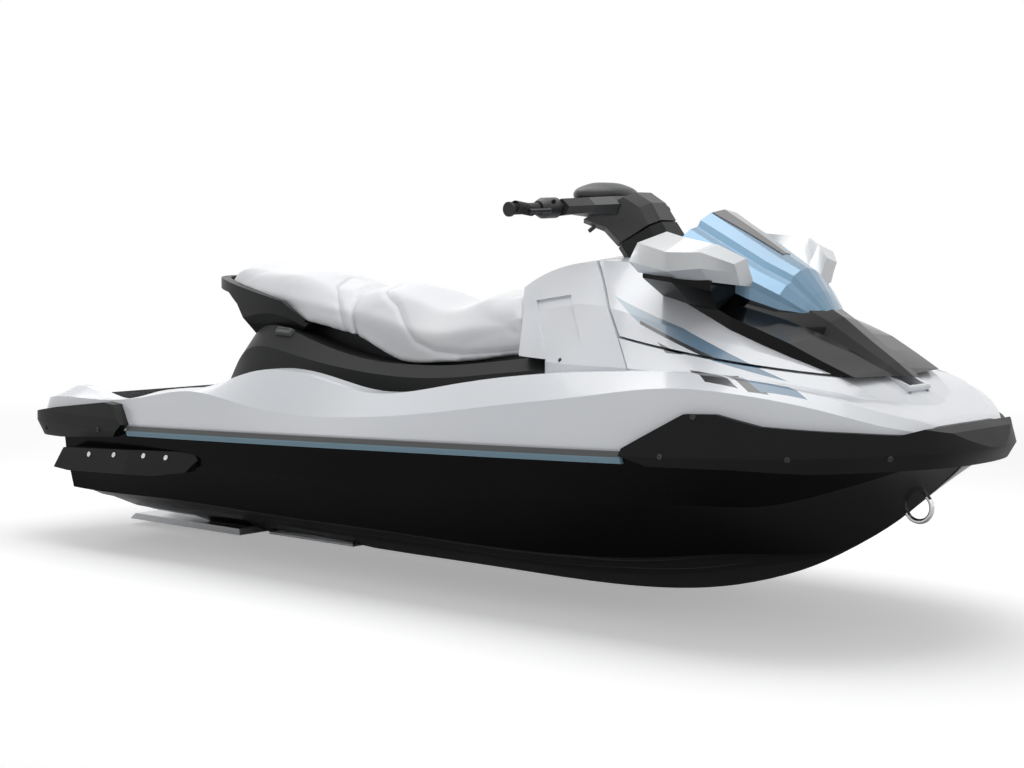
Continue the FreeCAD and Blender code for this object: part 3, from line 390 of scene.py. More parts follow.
# %% [markdown]
# Mirror housings and visor carry a metallic paint: flakes about 0.4 mm across, each with its own shade,
# under a clear coat. The visor's middle is a tinted plastic, which is nearly opaque on the real craft, so
# it is a dark gloss and not a glass.

# %% Metallic paints
FLAKES = 2600


def metallic_paint(name, base, dark, share):
    """Paint with a share of metal, whose flakes run from the base colour to a darker one."""
    finish = Finish(name)
    flakes = finish.cells(FLAKES)
    finish.set(
        base_color=finish.mix(flakes, base, dark),
        metallic=share,
        roughness=flakes * 0.1 + 0.26,
        coat_weight=0.7,
        coat_roughness=0.04,
    )
    return finish


silver = metallic_paint("paint_silver", (0.58, 0.595, 0.61), (0.46, 0.475, 0.49), 0.5)
steel_blue = metallic_paint("paint_steel_blue", (0.17, 0.30, 0.42), (0.13, 0.24, 0.35), 0.6)
tinted = gelcoat("visor_tinted", (0.09, 0.088, 0.094), (0.1, 0.098, 0.104), 0.12, 0.5, 0.6)
print("flakes", round(1000 / FLAKES, 2), "mm across")

# %% [markdown]
# Mats and grips are foam and rubber: nearly no gloss, and a pattern that a foot or a hand feels. The mats
# are cut with shallow waves across the craft, and the grips have a fine chequer. At that size the
# patterns are relief in the finish. The bars and rings that stand out further are modelled later on.

# %% Rubber and foam
MAT_WAVE = 0.028
CHEQUER = 0.006


def foam():
    finish = Finish("foam_mat")
    speck = finish.noise(1400, 2)
    finish.set(
        base_color=finish.mix(speck.above(0.5, 0.2), (0.028, 0.029, 0.031), (0.045, 0.046, 0.049)),
        roughness=0.92,
        specular_ior_level=0.25,
    )
    groove = (finish.x + finish.noise(7, 1) * 0.03).wave(MAT_WAVE, 6)
    finish.bump((1 - groove) * 0.85 + speck * 0.15, 0.003, 0.9)
    return finish


def rubber():
    finish = Finish("rubber_grip")
    chequer = finish.y.wave(CHEQUER) * (finish.x + finish.z).wave(CHEQUER)
    finish.set(base_color=(0.012, 0.012, 0.0125, 1), roughness=finish.noise(300) * 0.2 + 0.55)
    finish.bump(chequer, 0.0012, 0.8)
    return finish


mat_foam = foam()
grip_rubber = rubber()
print("soft finishes:", mat_foam.material.name, grip_rubber.material.name)

# %% [markdown]
# Every solid of the imported model takes one of these finishes, by the name of its material slot. The
# handlebar's covers share a slot with darker trim but get a lighter grey, partly their own colour and
# partly a painted highlight of the top lamp, so they are named here. The seats' solids only keep the
# upholstery's place until the covers further down stand for them.

# %% Finishes on the frame
FINISHES = {
    "hull_gloss": hull_paint, "deck_gloss": deck_paint, "trim_plastic": trim, "bumper_plastic": bumper,
    "rail_plastic": rail_plastic, "mat_foam": mat_foam, "grip_rubber": grip_rubber,
    "bar_aluminium": bar_metal, "cast_aluminium": cast, "impeller_steel": steel,
    "engine_block": engine_finish, "eye_steel": chrome, "fairing_gloss": fairing,
    "visor_paint": steel_blue, "visor_glass": tinted, "panel_plastic": panel,
    "mirror_paint": silver, "mirror_glass": mirror_face, "upholstery": deck_paint,
}
BAR_COVERS = ("steering_shroud", "handlebar_pad", "control_pod_port", "control_pod_starboard", "shift_lever")
slot_of = {row["node"]: row["material_slot"] for row in frame["record"]["subparts"]}
for name, item in nodes.items():
    finish = bar_trim if name in BAR_COVERS else FINISHES[slot_of[name]]
    item.data.materials.clear()
    item.data.materials.append(finish.material)
print("finished nodes:", len(nodes))

# %% [markdown]
# The pieces that follow are modelled on top of the frame. Each starts as a primitive, is shaped
# in edit mode, and ends with its place in its mesh and its object at the origin. A few helpers keep the
# selection plain: an operator acts on all that is selected, and loading the frame leaves its nodes
# selected.

# %% Modelling helpers
BEVEL_STEPS = 2
SHARP_ANGLE = math.radians(40)
ALONG_X = Vector((1, 0, 0))
UP = Vector((0, 0, 1))


def alone(item):
    """Only this object is selected, and operators act on it."""
    bpy.ops.object.select_all(action="DESELECT")
    item.select_set(True)
    bpy.context.view_layer.objects.active = item


def edit(item, pick):
    """Edit mode, with only those faces selected that the test picks."""
    alone(item)
    bpy.ops.object.mode_set(mode="EDIT")
    bpy.ops.mesh.select_mode(type="FACE")
    bpy.ops.mesh.select_all(action="DESELECT")
    bpy.ops.object.mode_set(mode="OBJECT")
    for face in item.data.polygons:
        face.select = pick(face)
    bpy.ops.object.mode_set(mode="EDIT")


def every_face(face):
    return True


def top_face(face):
    return face.normal.z > 0.9


def pull(height):
    """Extrude the selected faces straight up, or down where the height is below zero."""
    bpy.ops.mesh.extrude_region_move(TRANSFORM_OT_translate={"value": (0, 0, height)})


def done():
    bpy.ops.object.mode_set(mode="OBJECT")


def finish_mesh(item, width):
    """A small bevel on the sharp edges, and smooth shading between them."""
    alone(item)
    soft = item.modifiers.new("bevel", "BEVEL")
    soft.width = width
    soft.segments = BEVEL_STEPS
    soft.limit_method = "ANGLE"
    bpy.ops.object.modifier_apply(modifier="bevel")
    bpy.ops.object.shade_smooth_by_angle(angle=SHARP_ANGLE)


def settle(item, name, finish, body):
    """The object goes to the origin with its place in its mesh, and rides on its body."""
    alone(item)
    bpy.ops.object.transform_apply(location=True, rotation=True, scale=True)
    item.name = name
    item.data.name = name
    item.data.materials.clear()
    item.data.materials.append(finish.material)
    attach(item, body)
    return item


# %% [markdown]
# What repeats, such as a screw or a bar, is modelled once and copied. Each copy has its own mesh, moved
# to its place, and the copies are joined into one piece. A place on the craft could be typed in, but it
# would leave a gap wherever a form changed, so a line is sent at the surface and the copy stands where it
# hits.

# %% Copies and their places
def copies(model, places):
    """One object made of a copy of the model's mesh at each place."""
    made = []
    for place in places:
        twin = bpy.data.objects.new("copy", model.data.copy())
        twin.data.transform(place)
        scene.collection.objects.link(twin)
        made.append(twin)
    bpy.ops.object.select_all(action="DESELECT")
    for twin in made:
        twin.select_set(True)
    bpy.context.view_layer.objects.active = made[0]
    bpy.ops.object.join()
    bpy.data.objects.remove(model)
    return made[0]


def surface(node):
    """Tree for finding points on a node's surface."""
    mesh = nodes[node].data
    return BVHTree.FromPolygons([v.co for v in mesh.vertices], [f.vertices for f in mesh.polygons])


def standing_on(tree, start, towards):
    """Place on a surface, found from a start in a direction, with its Z along the outward normal."""
    point, normal, _, _ = tree.ray_cast(Vector(start), Vector(towards))
    return Matrix.Translation(point) @ normal.to_track_quat("Z", "Y").to_matrix().to_4x4()


def corners_of(mesh):
    """A mesh's points as rows of an array."""
    flat = np.empty(len(mesh.vertices) * 3)
    mesh.vertices.foreach_get("co", flat)
    return flat.reshape(-1, 3)


# %% [markdown]
# The seat's covers are a pale marine vinyl with a very fine leather grain. The grain is finer than a face
# of any mesh, so it is relief in the finish. An attribute on the mesh says how near a point is to a seam,
# and the vinyl is painted a darker grey there: painted shade that stands for the shadow inside the crease.

# %% Seat vinyl
LEATHER_GRAIN = 620
FINE_GRAIN = 1500


def vinyl():
    finish = Finish("seat_vinyl")
    grain = finish.cells(LEATHER_GRAIN, "SMOOTH_F1")
    cloud = finish.noise(3.0, 3)
    crease_shade = finish.node("Attribute", {"attribute_name": "crease_shade"}, {}, 2)
    shade = finish.mix(cloud.above(0.5, 0.3), (0.80, 0.81, 0.83), (0.765, 0.775, 0.80))
    finish.set(
        # Painted shade: near a seam the vinyl turns a darker grey, standing for the shadow inside the crease.
        base_color=finish.mix(crease_shade * 0.55, shade, (0.42, 0.43, 0.455)),
        roughness=cloud * 0.1 + 0.36,
        specular_ior_level=0.42,
    )
    finish.bump(grain * 0.7 + finish.noise(FINE_GRAIN, 2) * 0.3, 0.00035, 0.5)
    return finish


seat_vinyl = vinyl()
print("cover:", seat_vinyl.material.name)

# %% [markdown]
# The seat is two foam blocks under that vinyl. A block modelled only from its outline looks cast, so each
# gets a cloth simulation: its shell is remeshed into even small faces and blown up a little, which crowns
# its panels and rounds its edges as foam under a tight cover does. A point may move only a few
# millimetres, and the underside, which is glued to a stiff base, stays where it is. A last smoothing and
# one subdivision follow.

# %% Foam block in its cover
WELD = 0.0002
SHRINK = 0.003
VOXEL = 0.008
ROUND_STEPS = 24
CALM_STEPS = 5
PRESSURE = 4.0
UNDERSIDE = -0.5
SWELL = 0.006
CLOTH_FRAMES = 20


def smooth_over(block, steps):
    """So many rounds of moving every point towards its neighbours."""
    smooth = block.modifiers.new("smooth", "SMOOTH")
    smooth.iterations = steps
    bpy.ops.object.modifier_apply(modifier="smooth")


def blow_up(block):
    """Cloth under pressure, with its movement kept small and its base held."""
    before = corners_of(block.data)
    held = block.vertex_groups.new(name="held")
    base = [vertex.index for vertex in block.data.vertices if vertex.normal.z < UNDERSIDE]
    held.add(base, 1.0, "REPLACE")
    cover = block.modifiers.new("cover", "CLOTH")
    cover.settings.use_pressure = True
    cover.settings.uniform_pressure_force = PRESSURE
    cover.settings.effector_weights.gravity = 0
    cover.settings.vertex_group_mass = "held"
    cover.point_cache.frame_end = CLOTH_FRAMES
    for moment in range(1, CLOTH_FRAMES + 1):
        scene.frame_set(moment)
    shaped = block.evaluated_get(bpy.context.evaluated_depsgraph_get())
    moved = corners_of(shaped.data) - before
    far = np.linalg.norm(moved, axis=1, keepdims=True)
    moved *= np.minimum(1.0, SWELL / np.maximum(far, 1e-9))
    block.modifiers.remove(cover)
    scene.frame_set(1)
    block.data.vertices.foreach_set("co", (before + moved).ravel())
    block.data.update()
    print(block.name, "moved at most", round(float(far.max()), 4), "before the limit")


def foam_block(node):
    """A padded copy of a seat's solid."""
    block = bpy.data.objects.new(node + "_cover", nodes[node].data.copy())
    scene.collection.objects.link(block)
    edit(block, every_face)
    bpy.ops.mesh.remove_doubles(threshold=WELD)
    bpy.ops.transform.shrink_fatten(value=-SHRINK)
    done()
    even = block.modifiers.new("even", "REMESH")
    even.mode = "VOXEL"
    even.voxel_size = VOXEL
    bpy.ops.object.modifier_apply(modifier="even")
    smooth_over(block, ROUND_STEPS)
    blow_up(block)
    smooth_over(block, CALM_STEPS)
    fine = block.modifiers.new("fine", "SUBSURF")
    fine.levels = 1
    fine.render_levels = 1
    bpy.ops.object.modifier_apply(modifier="fine")
    bpy.ops.object.shade_smooth()
    return block


# %% [markdown]
# The covers have seams along two curves that show on each side: the front seat's thigh panel ends in a soft
# crease that sweeps from the top down to its front edge, and the rear seat has a fold just behind the
# joint. A seam pulls its cover in by a few millimetres, which a groove cut into the mesh would make too
# hard. So a curve is given from the side, every point near it moves inwards, and the attribute remembers
# the nearness, from which the vinyl takes its painted crease shade.

# %% Sewn creases
FRONT_CREASE = (
    (-0.40, 0.625), (-0.276, 0.561), (-0.213, 0.503), (-0.165, 0.455),
    (-0.088, 0.43), (0.023, 0.425), (0.16, 0.437), (0.30, 0.455),
)
REAR_CREASE = ((-0.64, 0.640), (-0.565, 0.60), (-0.515, 0.555), (-0.485, 0.51), (-0.462, 0.45))
CREASE_DEPTH = 0.0042
CREASE_HALF = 0.011
# Half width of the painted crease shade along a seam.
CREASE_SHADE_HALF = 0.0024


def distance_to(points, curve):
    """Distance in side view from each point to a curve of straight runs."""
    nearest = np.full(len(points), np.inf)
    flat = points[:, [0, 2]]
    for start, end in zip(curve, curve[1:]):
        start = np.array(start)
        run = np.array(end) - start
        share = np.clip((flat - start) @ run / (run @ run), 0, 1)
        nearest = np.minimum(nearest, np.linalg.norm(flat - start - share[:, None] * run, axis=1))
    return nearest


def sew(block, curve):
    """Pull the cover in along a curve, except on its underside, and keep the nearness as an attribute for the
    painted crease shade.
    """
    points = corners_of(block.data)
    normals = np.array([vertex.normal for vertex in block.data.vertices])
    away = distance_to(points, curve)
    depth = np.exp(-(away / CREASE_HALF) ** 2) * np.clip(normals[:, 2] + 1.4, 0, 1)
    points -= normals * (depth * CREASE_DEPTH)[:, None]
    block.data.vertices.foreach_set("co", points.ravel())
    # Nearness to the seam, from which the vinyl paints its darker crease shade.
    crease_shade = block.data.attributes.new("crease_shade", "FLOAT", "POINT")
    crease_shade.data.foreach_set("value", np.exp(-(away / CREASE_SHADE_HALF) ** 2))
    block.data.update()


for node, curve in (("seat_front", FRONT_CREASE), ("seat_rear", REAR_CREASE)):
    cover = foam_block(node)
    sew(cover, curve)
    settle(cover, node + "_cover", seat_vinyl, "root")
    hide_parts(node)
    print(cover.name, len(cover.data.polygons), "faces")

# %% [markdown]
# Bumpers and side floats are held by flanged fasteners. A plain disc would do from far off, but the
# socket catches a point of light, so one is modelled: a flanged head with a hollow, its edges bevelled.
# The copies stand on the surface where a line from the side meets it.

# %% Fasteners
HEAD_SINK = 0.0005
HEAD_HEIGHT = 0.003
BUMPER_HEAD = 0.0075
FLOAT_HEAD = 0.0085
CONSOLE_HEAD = 0.006


def fastener(radius, height):
    """Flanged head with a socket, standing on the ground plane's origin."""
    middle = height / 2 - HEAD_SINK
    bpy.ops.object.select_all(action="DESELECT")
    bpy.ops.mesh.primitive_cylinder_add(vertices=24, radius=radius, depth=height, location=(0, 0, middle))
    head = bpy.context.object
    bpy.ops.object.transform_apply(location=True)
    edit(head, top_face)
    bpy.ops.mesh.inset(thickness=radius * 0.3)
    pull(height * 0.45)
    bpy.ops.mesh.inset(thickness=radius * 0.24)
    pull(-height * 0.9)
    done()
    finish_mesh(head, radius * 0.06)
    return head


STERN_ROW = ((-1.585, 0.110), (-1.231, 0.135))
FLOAT_ROW = ((-1.272, 0.050), (-1.144, 0.058), (-1.000, 0.066), (-0.896, 0.068))
BOLT_ROWS = (
    ("bow_bumper", BUMPER_HEAD, ((1.120, 0.335), (1.042, 0.231), (1.357, 0.241), (1.537, 0.242))),
    ("stern_bumper_port", BUMPER_HEAD, STERN_ROW),
    ("stern_bumper_starboard", BUMPER_HEAD, STERN_ROW),
    ("sponson_port", FLOAT_HEAD, FLOAT_ROW),
    ("sponson_starboard", FLOAT_HEAD, FLOAT_ROW),
    ("console", CONSOLE_HEAD, ((0.513, 0.437),)),
)
for node, radius, row in BOLT_ROWS:
    tree = surface(node)
    # A piece of one side has fasteners on that side only.
    sides = {"port": (1,), "starboard": (-1,)}.get(node.split("_")[-1], (1, -1))
    places = []
    for side in sides:
        for along, height in row:
            places.append(standing_on(tree, (along, side, height), (0, -side, 0)))
    bolts = copies(fastener(radius, HEAD_HEIGHT), places)
    settle(bolts, node + "_fasteners", chrome if "sponson" in node else bar_trim, "root")
    print(bolts.name, len(places))

# %% [markdown]
# Low ribs run lengthwise along the hull's bottom. They throw the water off and catch the light as thin
# lines. A straight bar would cut into the hull's curves, so each is a strip of small faces that is laid
# on the hull from below, point by point, then given a wall and a bevel.

# %% Bottom ribs
RIB_WIDTH = 0.022
RIB_HEIGHT = 0.009
RIB_STEPS = 60
RIB_CLEARANCE = 0.0004
RIB_BEVEL = 0.003
BELOW_HULL = -0.6
RIB_LINES = (
    ((-1.20, -0.30), (0.00, -0.315), (0.70, -0.27), (1.10, -0.15)),
    ((-1.05, -0.415), (0.00, -0.43), (0.60, -0.39), (1.00, -0.28)),
)
hull_tree = surface("hull")
# The ribs' gelcoat is the hull's black made a little lighter, a painted highlight that shows them as thin
# lines, and it also reflects more.
rib_paint = gelcoat("gelcoat_ribs", (0.004, 0.004, 0.0044), (0.006, 0.006, 0.0065), 0.2, 0.45, 0.0)


def bottom_rib(line, side):
    """A rib along a line of places and distances from the middle, which narrows at both ends."""
    bpy.ops.object.select_all(action="DESELECT")
    bpy.ops.mesh.primitive_grid_add(x_subdivisions=RIB_STEPS, y_subdivisions=2, size=1)
    rib = bpy.context.object
    along = [place for place, _ in line]
    apart = [distance for _, distance in line]
    for vertex in rib.data.vertices:
        share = vertex.co.x + 0.5
        narrow = min(1.0, 6 * share, 6 * (1 - share))
        x = along[0] + share * (along[-1] - along[0])
        y = float(np.interp(x, along, apart)) * side + vertex.co.y * RIB_WIDTH * narrow
        point, normal, _, _ = hull_tree.ray_cast(Vector((x, y, BELOW_HULL)), UP)
        vertex.co = point + normal * RIB_CLEARANCE
    wall = rib.modifiers.new("wall", "SOLIDIFY")
    wall.thickness = RIB_HEIGHT
    wall.offset = 1
    alone(rib)
    bpy.ops.object.modifier_apply(modifier="wall")
    edit(rib, every_face)
    bpy.ops.mesh.normals_make_consistent(inside=False)
    done()
    finish_mesh(rib, RIB_BEVEL)
    return rib


for number, line in enumerate(RIB_LINES, 1):
    for side_name, side in (("port", 1), ("starboard", -1)):
        rib = bottom_rib(line, side)
        settle(rib, f"bottom_rib_{number}_{side_name}", rib_paint, "root")
        print(rib.name, len(rib.data.polygons), "faces")

# %% [markdown]
# Traction mats are cut from foam sheet with bevelled bars across them, so that a wet foot grips. Relief
# in the finish alone would look flat from above, where each bar throws a small shadow, so the bars are
# real pieces, laid across each mat at an even pitch. One bar is a plane that is pulled up and narrowed at
# its top.

# %% Mat bars
BAR_PITCH = 0.026
BAR_LENGTH = 0.015
BAR_HEIGHT = 0.0035
BAR_SINK = 0.0005
COLUMN_GAP = 0.018
FIRST_BAR = 0.02
BARE_ENDS = 0.03


def mat_bar(width):
    """One bar with chamfered top, its long side across the craft."""
    bpy.ops.object.select_all(action="DESELECT")
    bpy.ops.mesh.primitive_plane_add(size=1)
    bar = bpy.context.object
    bar.data.transform(Matrix.Diagonal((BAR_LENGTH, width, 1, 1)))
    edit(bar, every_face)
    pull(BAR_HEIGHT)
    bpy.ops.transform.resize(value=(0.7, 1 - 0.004 / width, 1), center_override=(0, 0, BAR_HEIGHT))
    done()
    return bar


for node in ("footwell_mat_port", "footwell_mat_starboard", "platform_mat"):
    tree = surface(node)
    low, high = (Vector(corner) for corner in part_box(node))
    columns = 3 if node == "platform_mat" else 1
    width = (high.y - low.y) / columns - COLUMN_GAP
    rows = int((high.x - low.x - BARE_ENDS) / BAR_PITCH)
    places = []
    for column in range(columns):
        y = low.y + (high.y - low.y) * (column + 0.5) / columns
        for row in range(rows):
            x = low.x + FIRST_BAR + BAR_PITCH * (row + 0.5)
            point, normal, _, _ = tree.ray_cast(Vector((x, y, high.z + 0.05)), -UP)
            if point is not None:
                tilt = UP.rotation_difference(normal).to_matrix().to_4x4()
                places.append(Matrix.Translation(point - normal * BAR_SINK) @ tilt)
    bars = copies(mat_bar(width), places)
    settle(bars, node + "_bars", mat_foam, "root")
    print(bars.name, len(places))

# %% [markdown]
# A grip is a rubber sleeve with rings that keep the hand from sliding, between an inner flange and an end
# button. The rings are one small torus, stretched along its axis and copied along the bar's line. That
# line is found from the grip's two ends, so the rings stay on the grip wherever the bar is.

# %% Grips
GRIP_RINGS = 15
RING_RADIUS = 0.0164
RING_THICKNESS = 0.0014
RING_START = 0.14
RING_SPAN = 0.7


def grip_axis(node):
    """Middle points of a grip's inner and outer ends."""
    points = corners_of(nodes[node].data)
    order = np.argsort(np.abs(points[:, 1]))
    share = max(8, len(order) // 10)
    return Vector(points[order[:share]].mean(axis=0)), Vector(points[order[-share:]].mean(axis=0))


def grip_ring():
    """One ring round the Z axis, longer along it than it is thick."""
    bpy.ops.object.select_all(action="DESELECT")
    bpy.ops.mesh.primitive_torus_add(
        major_segments=32, minor_segments=8, major_radius=RING_RADIUS, minor_radius=RING_THICKNESS)
    ring = bpy.context.object
    edit(ring, every_face)
    bpy.ops.transform.resize(value=(1, 1, 1.6), center_override=(0, 0, 0))
    done()
    return ring


for side_name in ("port", "starboard"):
    node = "grip_" + side_name
    inner, outer = grip_axis(node)
    run = outer - inner
    stand = run.to_track_quat("Z", "Y").to_matrix().to_4x4()
    places = []
    for step in range(GRIP_RINGS):
        share = RING_START + RING_SPAN * step / (GRIP_RINGS - 1)
        places.append(Matrix.Translation(inner + run * share) @ stand)
    rings = copies(grip_ring(), places)
    bpy.ops.object.shade_smooth()
    settle(rings, node + "_rings", grip_rubber, "handlebar")
    print(rings.name, len(places), "on a line of", round(run.length, 3), "m")

# %% [markdown]
# The instrument panel stands behind the visor and faces the rider. Its round dial has a raised bezel
# round a sunken face. The dial could be a picture, but then its rim would throw no shadow, so it is a
# short cylinder that is pulled up, inset and pushed down again. It is made lying flat, and DIAL_FRAME
# stands it on the panel.

# %% Dial
DIAL_LARGEST = 0.036
DIAL_MARGIN = 0.004
BASE_HEIGHT = 0.002
RIM_HEIGHT = 0.0025
FACE_DEPTH = 0.003
dial_low, dial_high = (Vector(corner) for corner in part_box("instrument_panel"))
DIAL_PLACE = Vector((dial_low.x, 0, (dial_low.z + dial_high.z) / 2))
DIAL_RADIUS = min(DIAL_LARGEST, (dial_high.z - dial_low.z) / 2 - DIAL_MARGIN)
DIAL_FRAME = Matrix.Translation(DIAL_PLACE) @ Matrix(((0, 0, -1), (-1, 0, 0), (0, 1, 0))).to_4x4()


def dial_finish(name, base, rough):
    """Printed or moulded plastic with a fine mottle."""
    finish = Finish(name)
    finish.set(
        base_color=finish.mix(finish.noise(300) * 0.5, base, times(base, 0.8)),
        roughness=finish.noise(90) * 0.1 + rough,
    )
    return finish


dial_black = dial_finish("dial_black", (0.01, 0.01, 0.011), 0.3)
dial_white = dial_finish("dial_print", (0.75, 0.76, 0.78), 0.45)

bpy.ops.object.select_all(action="DESELECT")
bpy.ops.mesh.primitive_cylinder_add(
    vertices=64, radius=DIAL_RADIUS, depth=BASE_HEIGHT, location=(0, 0, BASE_HEIGHT / 2))
bezel = bpy.context.object
bpy.ops.object.transform_apply(location=True)
edit(bezel, top_face)
pull(RIM_HEIGHT)
bpy.ops.mesh.inset(thickness=DIAL_RADIUS * 0.08)
pull(-FACE_DEPTH)
done()
finish_mesh(bezel, 0.0004)
bezel.data.transform(DIAL_FRAME)
settle(bezel, "dial_bezel", dial_black, "hood")
print("dial radius", round(DIAL_RADIUS, 4), "at", tuple(round(part, 3) for part in DIAL_PLACE))

# %% [markdown]
# The dial's print is plain numbers, ticks between them and a needle, a little raised so that it catches
# light. A number is a text object that is made a mesh before it is put in its place. Ticks are one thin
# bar, copied round the dial, and the needle is a cone with four sides, flattened and laid down.

# %% Dial print
DIAL_TOP = 8
DIAL_SWEEP = math.radians(250)
QUARTER_TURN = math.radians(90)
NEEDLE_TURN = math.radians(128)
PRINT_HEIGHT = 0.0018
NUMBER_RING = DIAL_RADIUS * 0.58
TICK_RING = DIAL_RADIUS * 0.83


def dial_angle(share):
    """Direction of a mark, from the dial's start at 0 to its end at 1."""
    return QUARTER_TURN + DIAL_SWEEP / 2 - DIAL_SWEEP * share


def print_on_dial(name, item, x, y, turn=0.0):
    """A mark that was made flat goes to its place on the dial."""
    on_face = Matrix.Translation((x, y, PRINT_HEIGHT)) @ Matrix.Rotation(turn, 4, "Z")
    item.data.transform(DIAL_FRAME @ on_face)
    return settle(item, name, dial_white, "hood")


for count in range(DIAL_TOP + 1):
    angle = dial_angle(count / DIAL_TOP)
    figure = bpy.data.curves.new("number", "FONT")
    figure.body = str(count)
    figure.size = DIAL_RADIUS * 0.26
    figure.align_x = "CENTER"
    figure.align_y = "CENTER"
    figure.extrude = 0.0002
    text = bpy.data.objects.new("number", figure)
    scene.collection.objects.link(text)
    alone(text)
    bpy.ops.object.convert(target="MESH")
    number = bpy.context.object
    x = math.cos(angle) * NUMBER_RING
    y = math.sin(angle) * NUMBER_RING
    print_on_dial(f"dial_number_{count}", number, x, y)

bpy.ops.object.select_all(action="DESELECT")
bpy.ops.mesh.primitive_plane_add(size=1)
tick = bpy.context.object
tick.data.transform(Matrix.Diagonal((DIAL_RADIUS * 0.13, DIAL_RADIUS * 0.03, 1, 1)))
edit(tick, every_face)
pull(0.0003)
done()
places = []
for count in range(2 * DIAL_TOP + 1):
    angle = dial_angle(count / (2 * DIAL_TOP))
    places.append(Matrix.Rotation(angle, 4, "Z") @ Matrix.Translation((TICK_RING, 0, 0)))
print_on_dial("dial_ticks", copies(tick, places), 0, 0)

bpy.ops.object.select_all(action="DESELECT")
bpy.ops.mesh.primitive_cone_add(
    vertices=4, radius1=DIAL_RADIUS * 0.04, radius2=0.0002, depth=DIAL_RADIUS * 0.72)
needle = bpy.context.object
edit(needle, every_face)
bpy.ops.transform.resize(value=(1, 0.3, 1), center_override=(0, 0, 0))
done()
off_centre = Matrix.Translation((0, 0, -DIAL_RADIUS * 0.3))
needle.data.transform(Matrix.Rotation(QUARTER_TURN, 4, "X") @ off_centre)
needle.data.transform(Matrix.Translation((0, 0, 0.0012)))
print_on_dial("dial_needle", needle, 0, 0, NEEDLE_TURN)
print("numbers 0 to", DIAL_TOP, "and", len(places), "ticks")

# %% [markdown]
# A latch on the seat's base lets the rear seat go. It is a short bevelled tab with a finger hollow in its
# face. The base's shoulder slopes, so the tab's turn comes from the surface it stands on, with its long
# side along the craft. A small round switch, with the fasteners' shape, sits on the starboard control
# pod.

# %% Latch and switch
LATCH_SIZE = (0.07, 0.03, 0.014)
LATCH_LIFT = 0.005
LATCH_FROM = Vector((-0.716, -0.6, 0.462))
SWITCH_RADIUS = 0.0065
SWITCH_HEIGHT = 0.005
SWITCH_FROM = (0.60, -0.214, 0.90)
SWITCH_WAY = Vector((-1, 0, -0.1)).normalized()


def latch_tab():
    """The tab on the ground plane, with its top narrowed and hollowed."""
    bpy.ops.object.select_all(action="DESELECT")
    bpy.ops.mesh.primitive_cube_add(size=1)
    tab = bpy.context.object
    tab.data.transform(Matrix.Translation((0, 0, LATCH_LIFT)) @ Matrix.Diagonal((*LATCH_SIZE, 1)))
    edit(tab, top_face)
    bpy.ops.transform.resize(value=(0.82, 0.7, 1), center_override=(0, 0, LATCH_LIFT + LATCH_SIZE[2] / 2))
    bpy.ops.mesh.inset(thickness=0.004)
    pull(-0.003)
    done()
    finish_mesh(tab, 0.0012)
    return tab


latch = latch_tab()
point, normal, _, _ = surface("seat_pedestal").ray_cast(LATCH_FROM, Vector((0, 1, 0)))
right = ALONG_X - normal * normal.x
right.normalize()
turn = Matrix((right, normal.cross(right), normal)).transposed()
latch.data.transform(Matrix.Translation(point) @ turn.to_4x4())
settle(latch, "seat_latch", rail_plastic, "root")

button = fastener(SWITCH_RADIUS, SWITCH_HEIGHT)
button.data.transform(standing_on(surface("control_pod_starboard"), SWITCH_FROM, SWITCH_WAY))
settle(button, "pod_switch", bumper, "handlebar")
print("latch at", tuple(round(part, 3) for part in point), "pieces:", latch.name, button.name)

# %% [markdown]
# The picture's background is white paper with a soft shadow on it. The floor is a plain pale surface that
# fades into a pure white a few metres out, so that no horizon shows. Near the craft a little light is
# added for the camera alone, by the Light Path node, which lifts the paper to white without lighting the
# craft.

# %% Floor
FLOOR_GAP = 0.012
FLOOR_LIFT = 0.36
FADE_RADIUS = 4.5
FADE_WIDTH = 2.5
WHITE = (1, 1, 1, 1)
lowest = cad_box[0][2]
bpy.ops.object.select_all(action="DESELECT")
bpy.ops.mesh.primitive_plane_add(size=60, location=(0, 0, lowest - FLOOR_GAP))
floor = bpy.context.object
floor.name = "floor"
floor.data.transform(floor.matrix_world)
floor.matrix_world = Matrix.Identity(4)
paper = Finish("studio_floor")
paper.set(base_color=(0.88, 0.88, 0.885, 1), roughness=0.9, specular_ior_level=0.2)
reach = paper.node("VectorMath", {"operation": "LENGTH"}, {0: paper.place}, 1)
white = paper.node("Emission", {}, {0: WHITE, 1: 1.0})
camera_ray = paper.node("LightPath", {}, {})
lift = paper.node("Emission", {}, {0: WHITE, 1: camera_ray * FLOOR_LIFT})
near = paper.node("AddShader", {}, {0: Term(paper, paper.shader.outputs[0]), 1: lift})
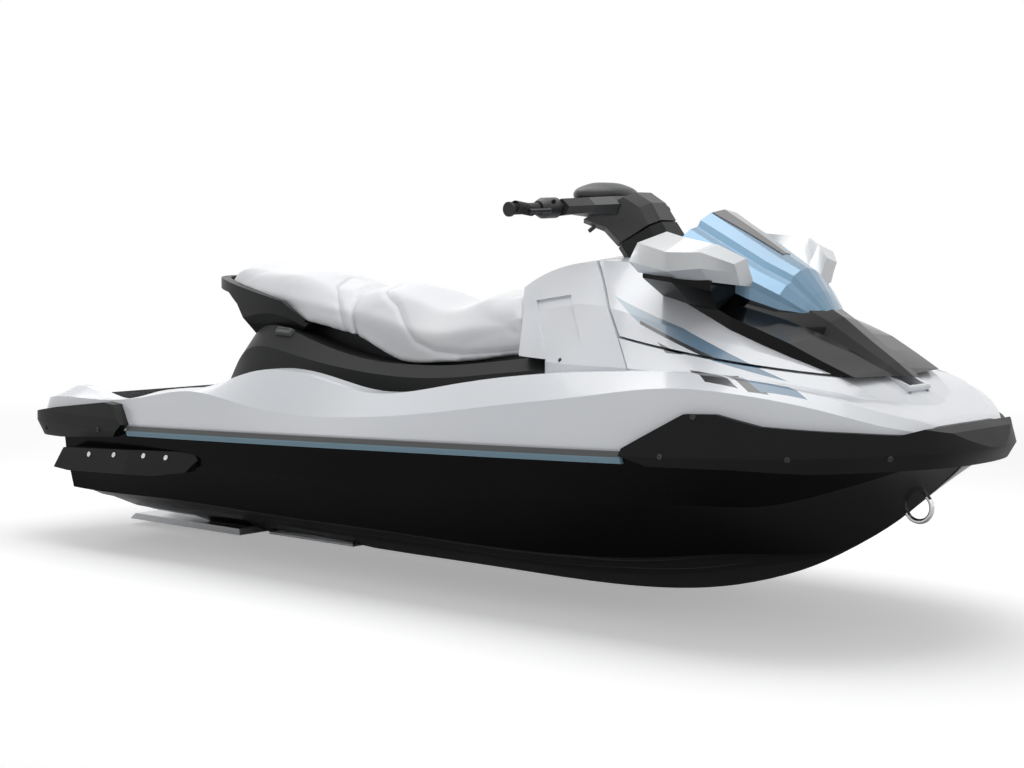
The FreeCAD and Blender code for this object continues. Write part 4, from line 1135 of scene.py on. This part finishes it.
blend = paper.node("MixShader", {}, {0: reach.above(FADE_RADIUS, FADE_WIDTH), 1: near, 2: white})
paper.feed(paper.tree.nodes["Material Output"].inputs[0], blend)
floor.data.materials.append(paper.material)
print("floor at", round(lowest - FLOOR_GAP, 3))

# %% [markdown]
# A studio for a pale craft is mostly one large soft lamp overhead and white all round. The world is white
# to the camera, to reflections and through glass, but lights the craft with less than half of that, or
# its forms would go flat. The lamps are area lights wide enough that their reflections in the gelcoat
# have soft ends.

# %% World and lamps
WORLD_FILL = 0.4
world = bpy.data.worlds.new("studio")
scene.world = world
world.use_nodes = True
tree = world.node_tree
background = tree.nodes["Background"]


def larger(first, second):
    """The larger of two numbers on sockets."""
    made = tree.nodes.new("ShaderNodeMath")
    made.operation = "MAXIMUM"
    tree.links.new(first, made.inputs[0])
    tree.links.new(second, made.inputs[1])
    return made.outputs[0]


rays = tree.nodes.new("ShaderNodeLightPath")
seen = larger(rays.outputs["Is Camera Ray"], rays.outputs["Is Glossy Ray"])
seen = larger(seen, rays.outputs["Is Transmission Ray"])
power = tree.nodes.new("ShaderNodeMapRange")
power.inputs["To Min"].default_value = WORLD_FILL
power.inputs["To Max"].default_value = 1.0
tree.links.new(seen, power.inputs["Value"])
tree.links.new(power.outputs[0], background.inputs["Strength"])
background.inputs["Color"].default_value = WHITE

LAMPS = (
    ("top", (0.0, 0.3, 3.6), (0, 0, 0.2), 5.0, 3.0, 100),
    ("front", (3.2, -4.2, 2.6), (0.6, 0, 0.3), 2.6, 2.0, 5),
    ("rear", (-4.5, 2.5, 2.6), (0, 0, 0.3), 2.6, 2.0, 12),
)
for name, place, aim, width, depth, watts in LAMPS:
    data = bpy.data.lights.new(name, "AREA")
    data.shape = "RECTANGLE"
    data.size = width
    data.size_y = depth
    data.energy = watts
    lamp = bpy.data.objects.new(name, data)
    lamp.location = place
    lamp.rotation_euler = (Vector(aim) - Vector(place)).to_track_quat("-Z", "Y").to_euler()
    scene.collection.objects.link(lamp)
print("lamps:", len(LAMPS), "with", sum(row[-1] for row in LAMPS), "watts")
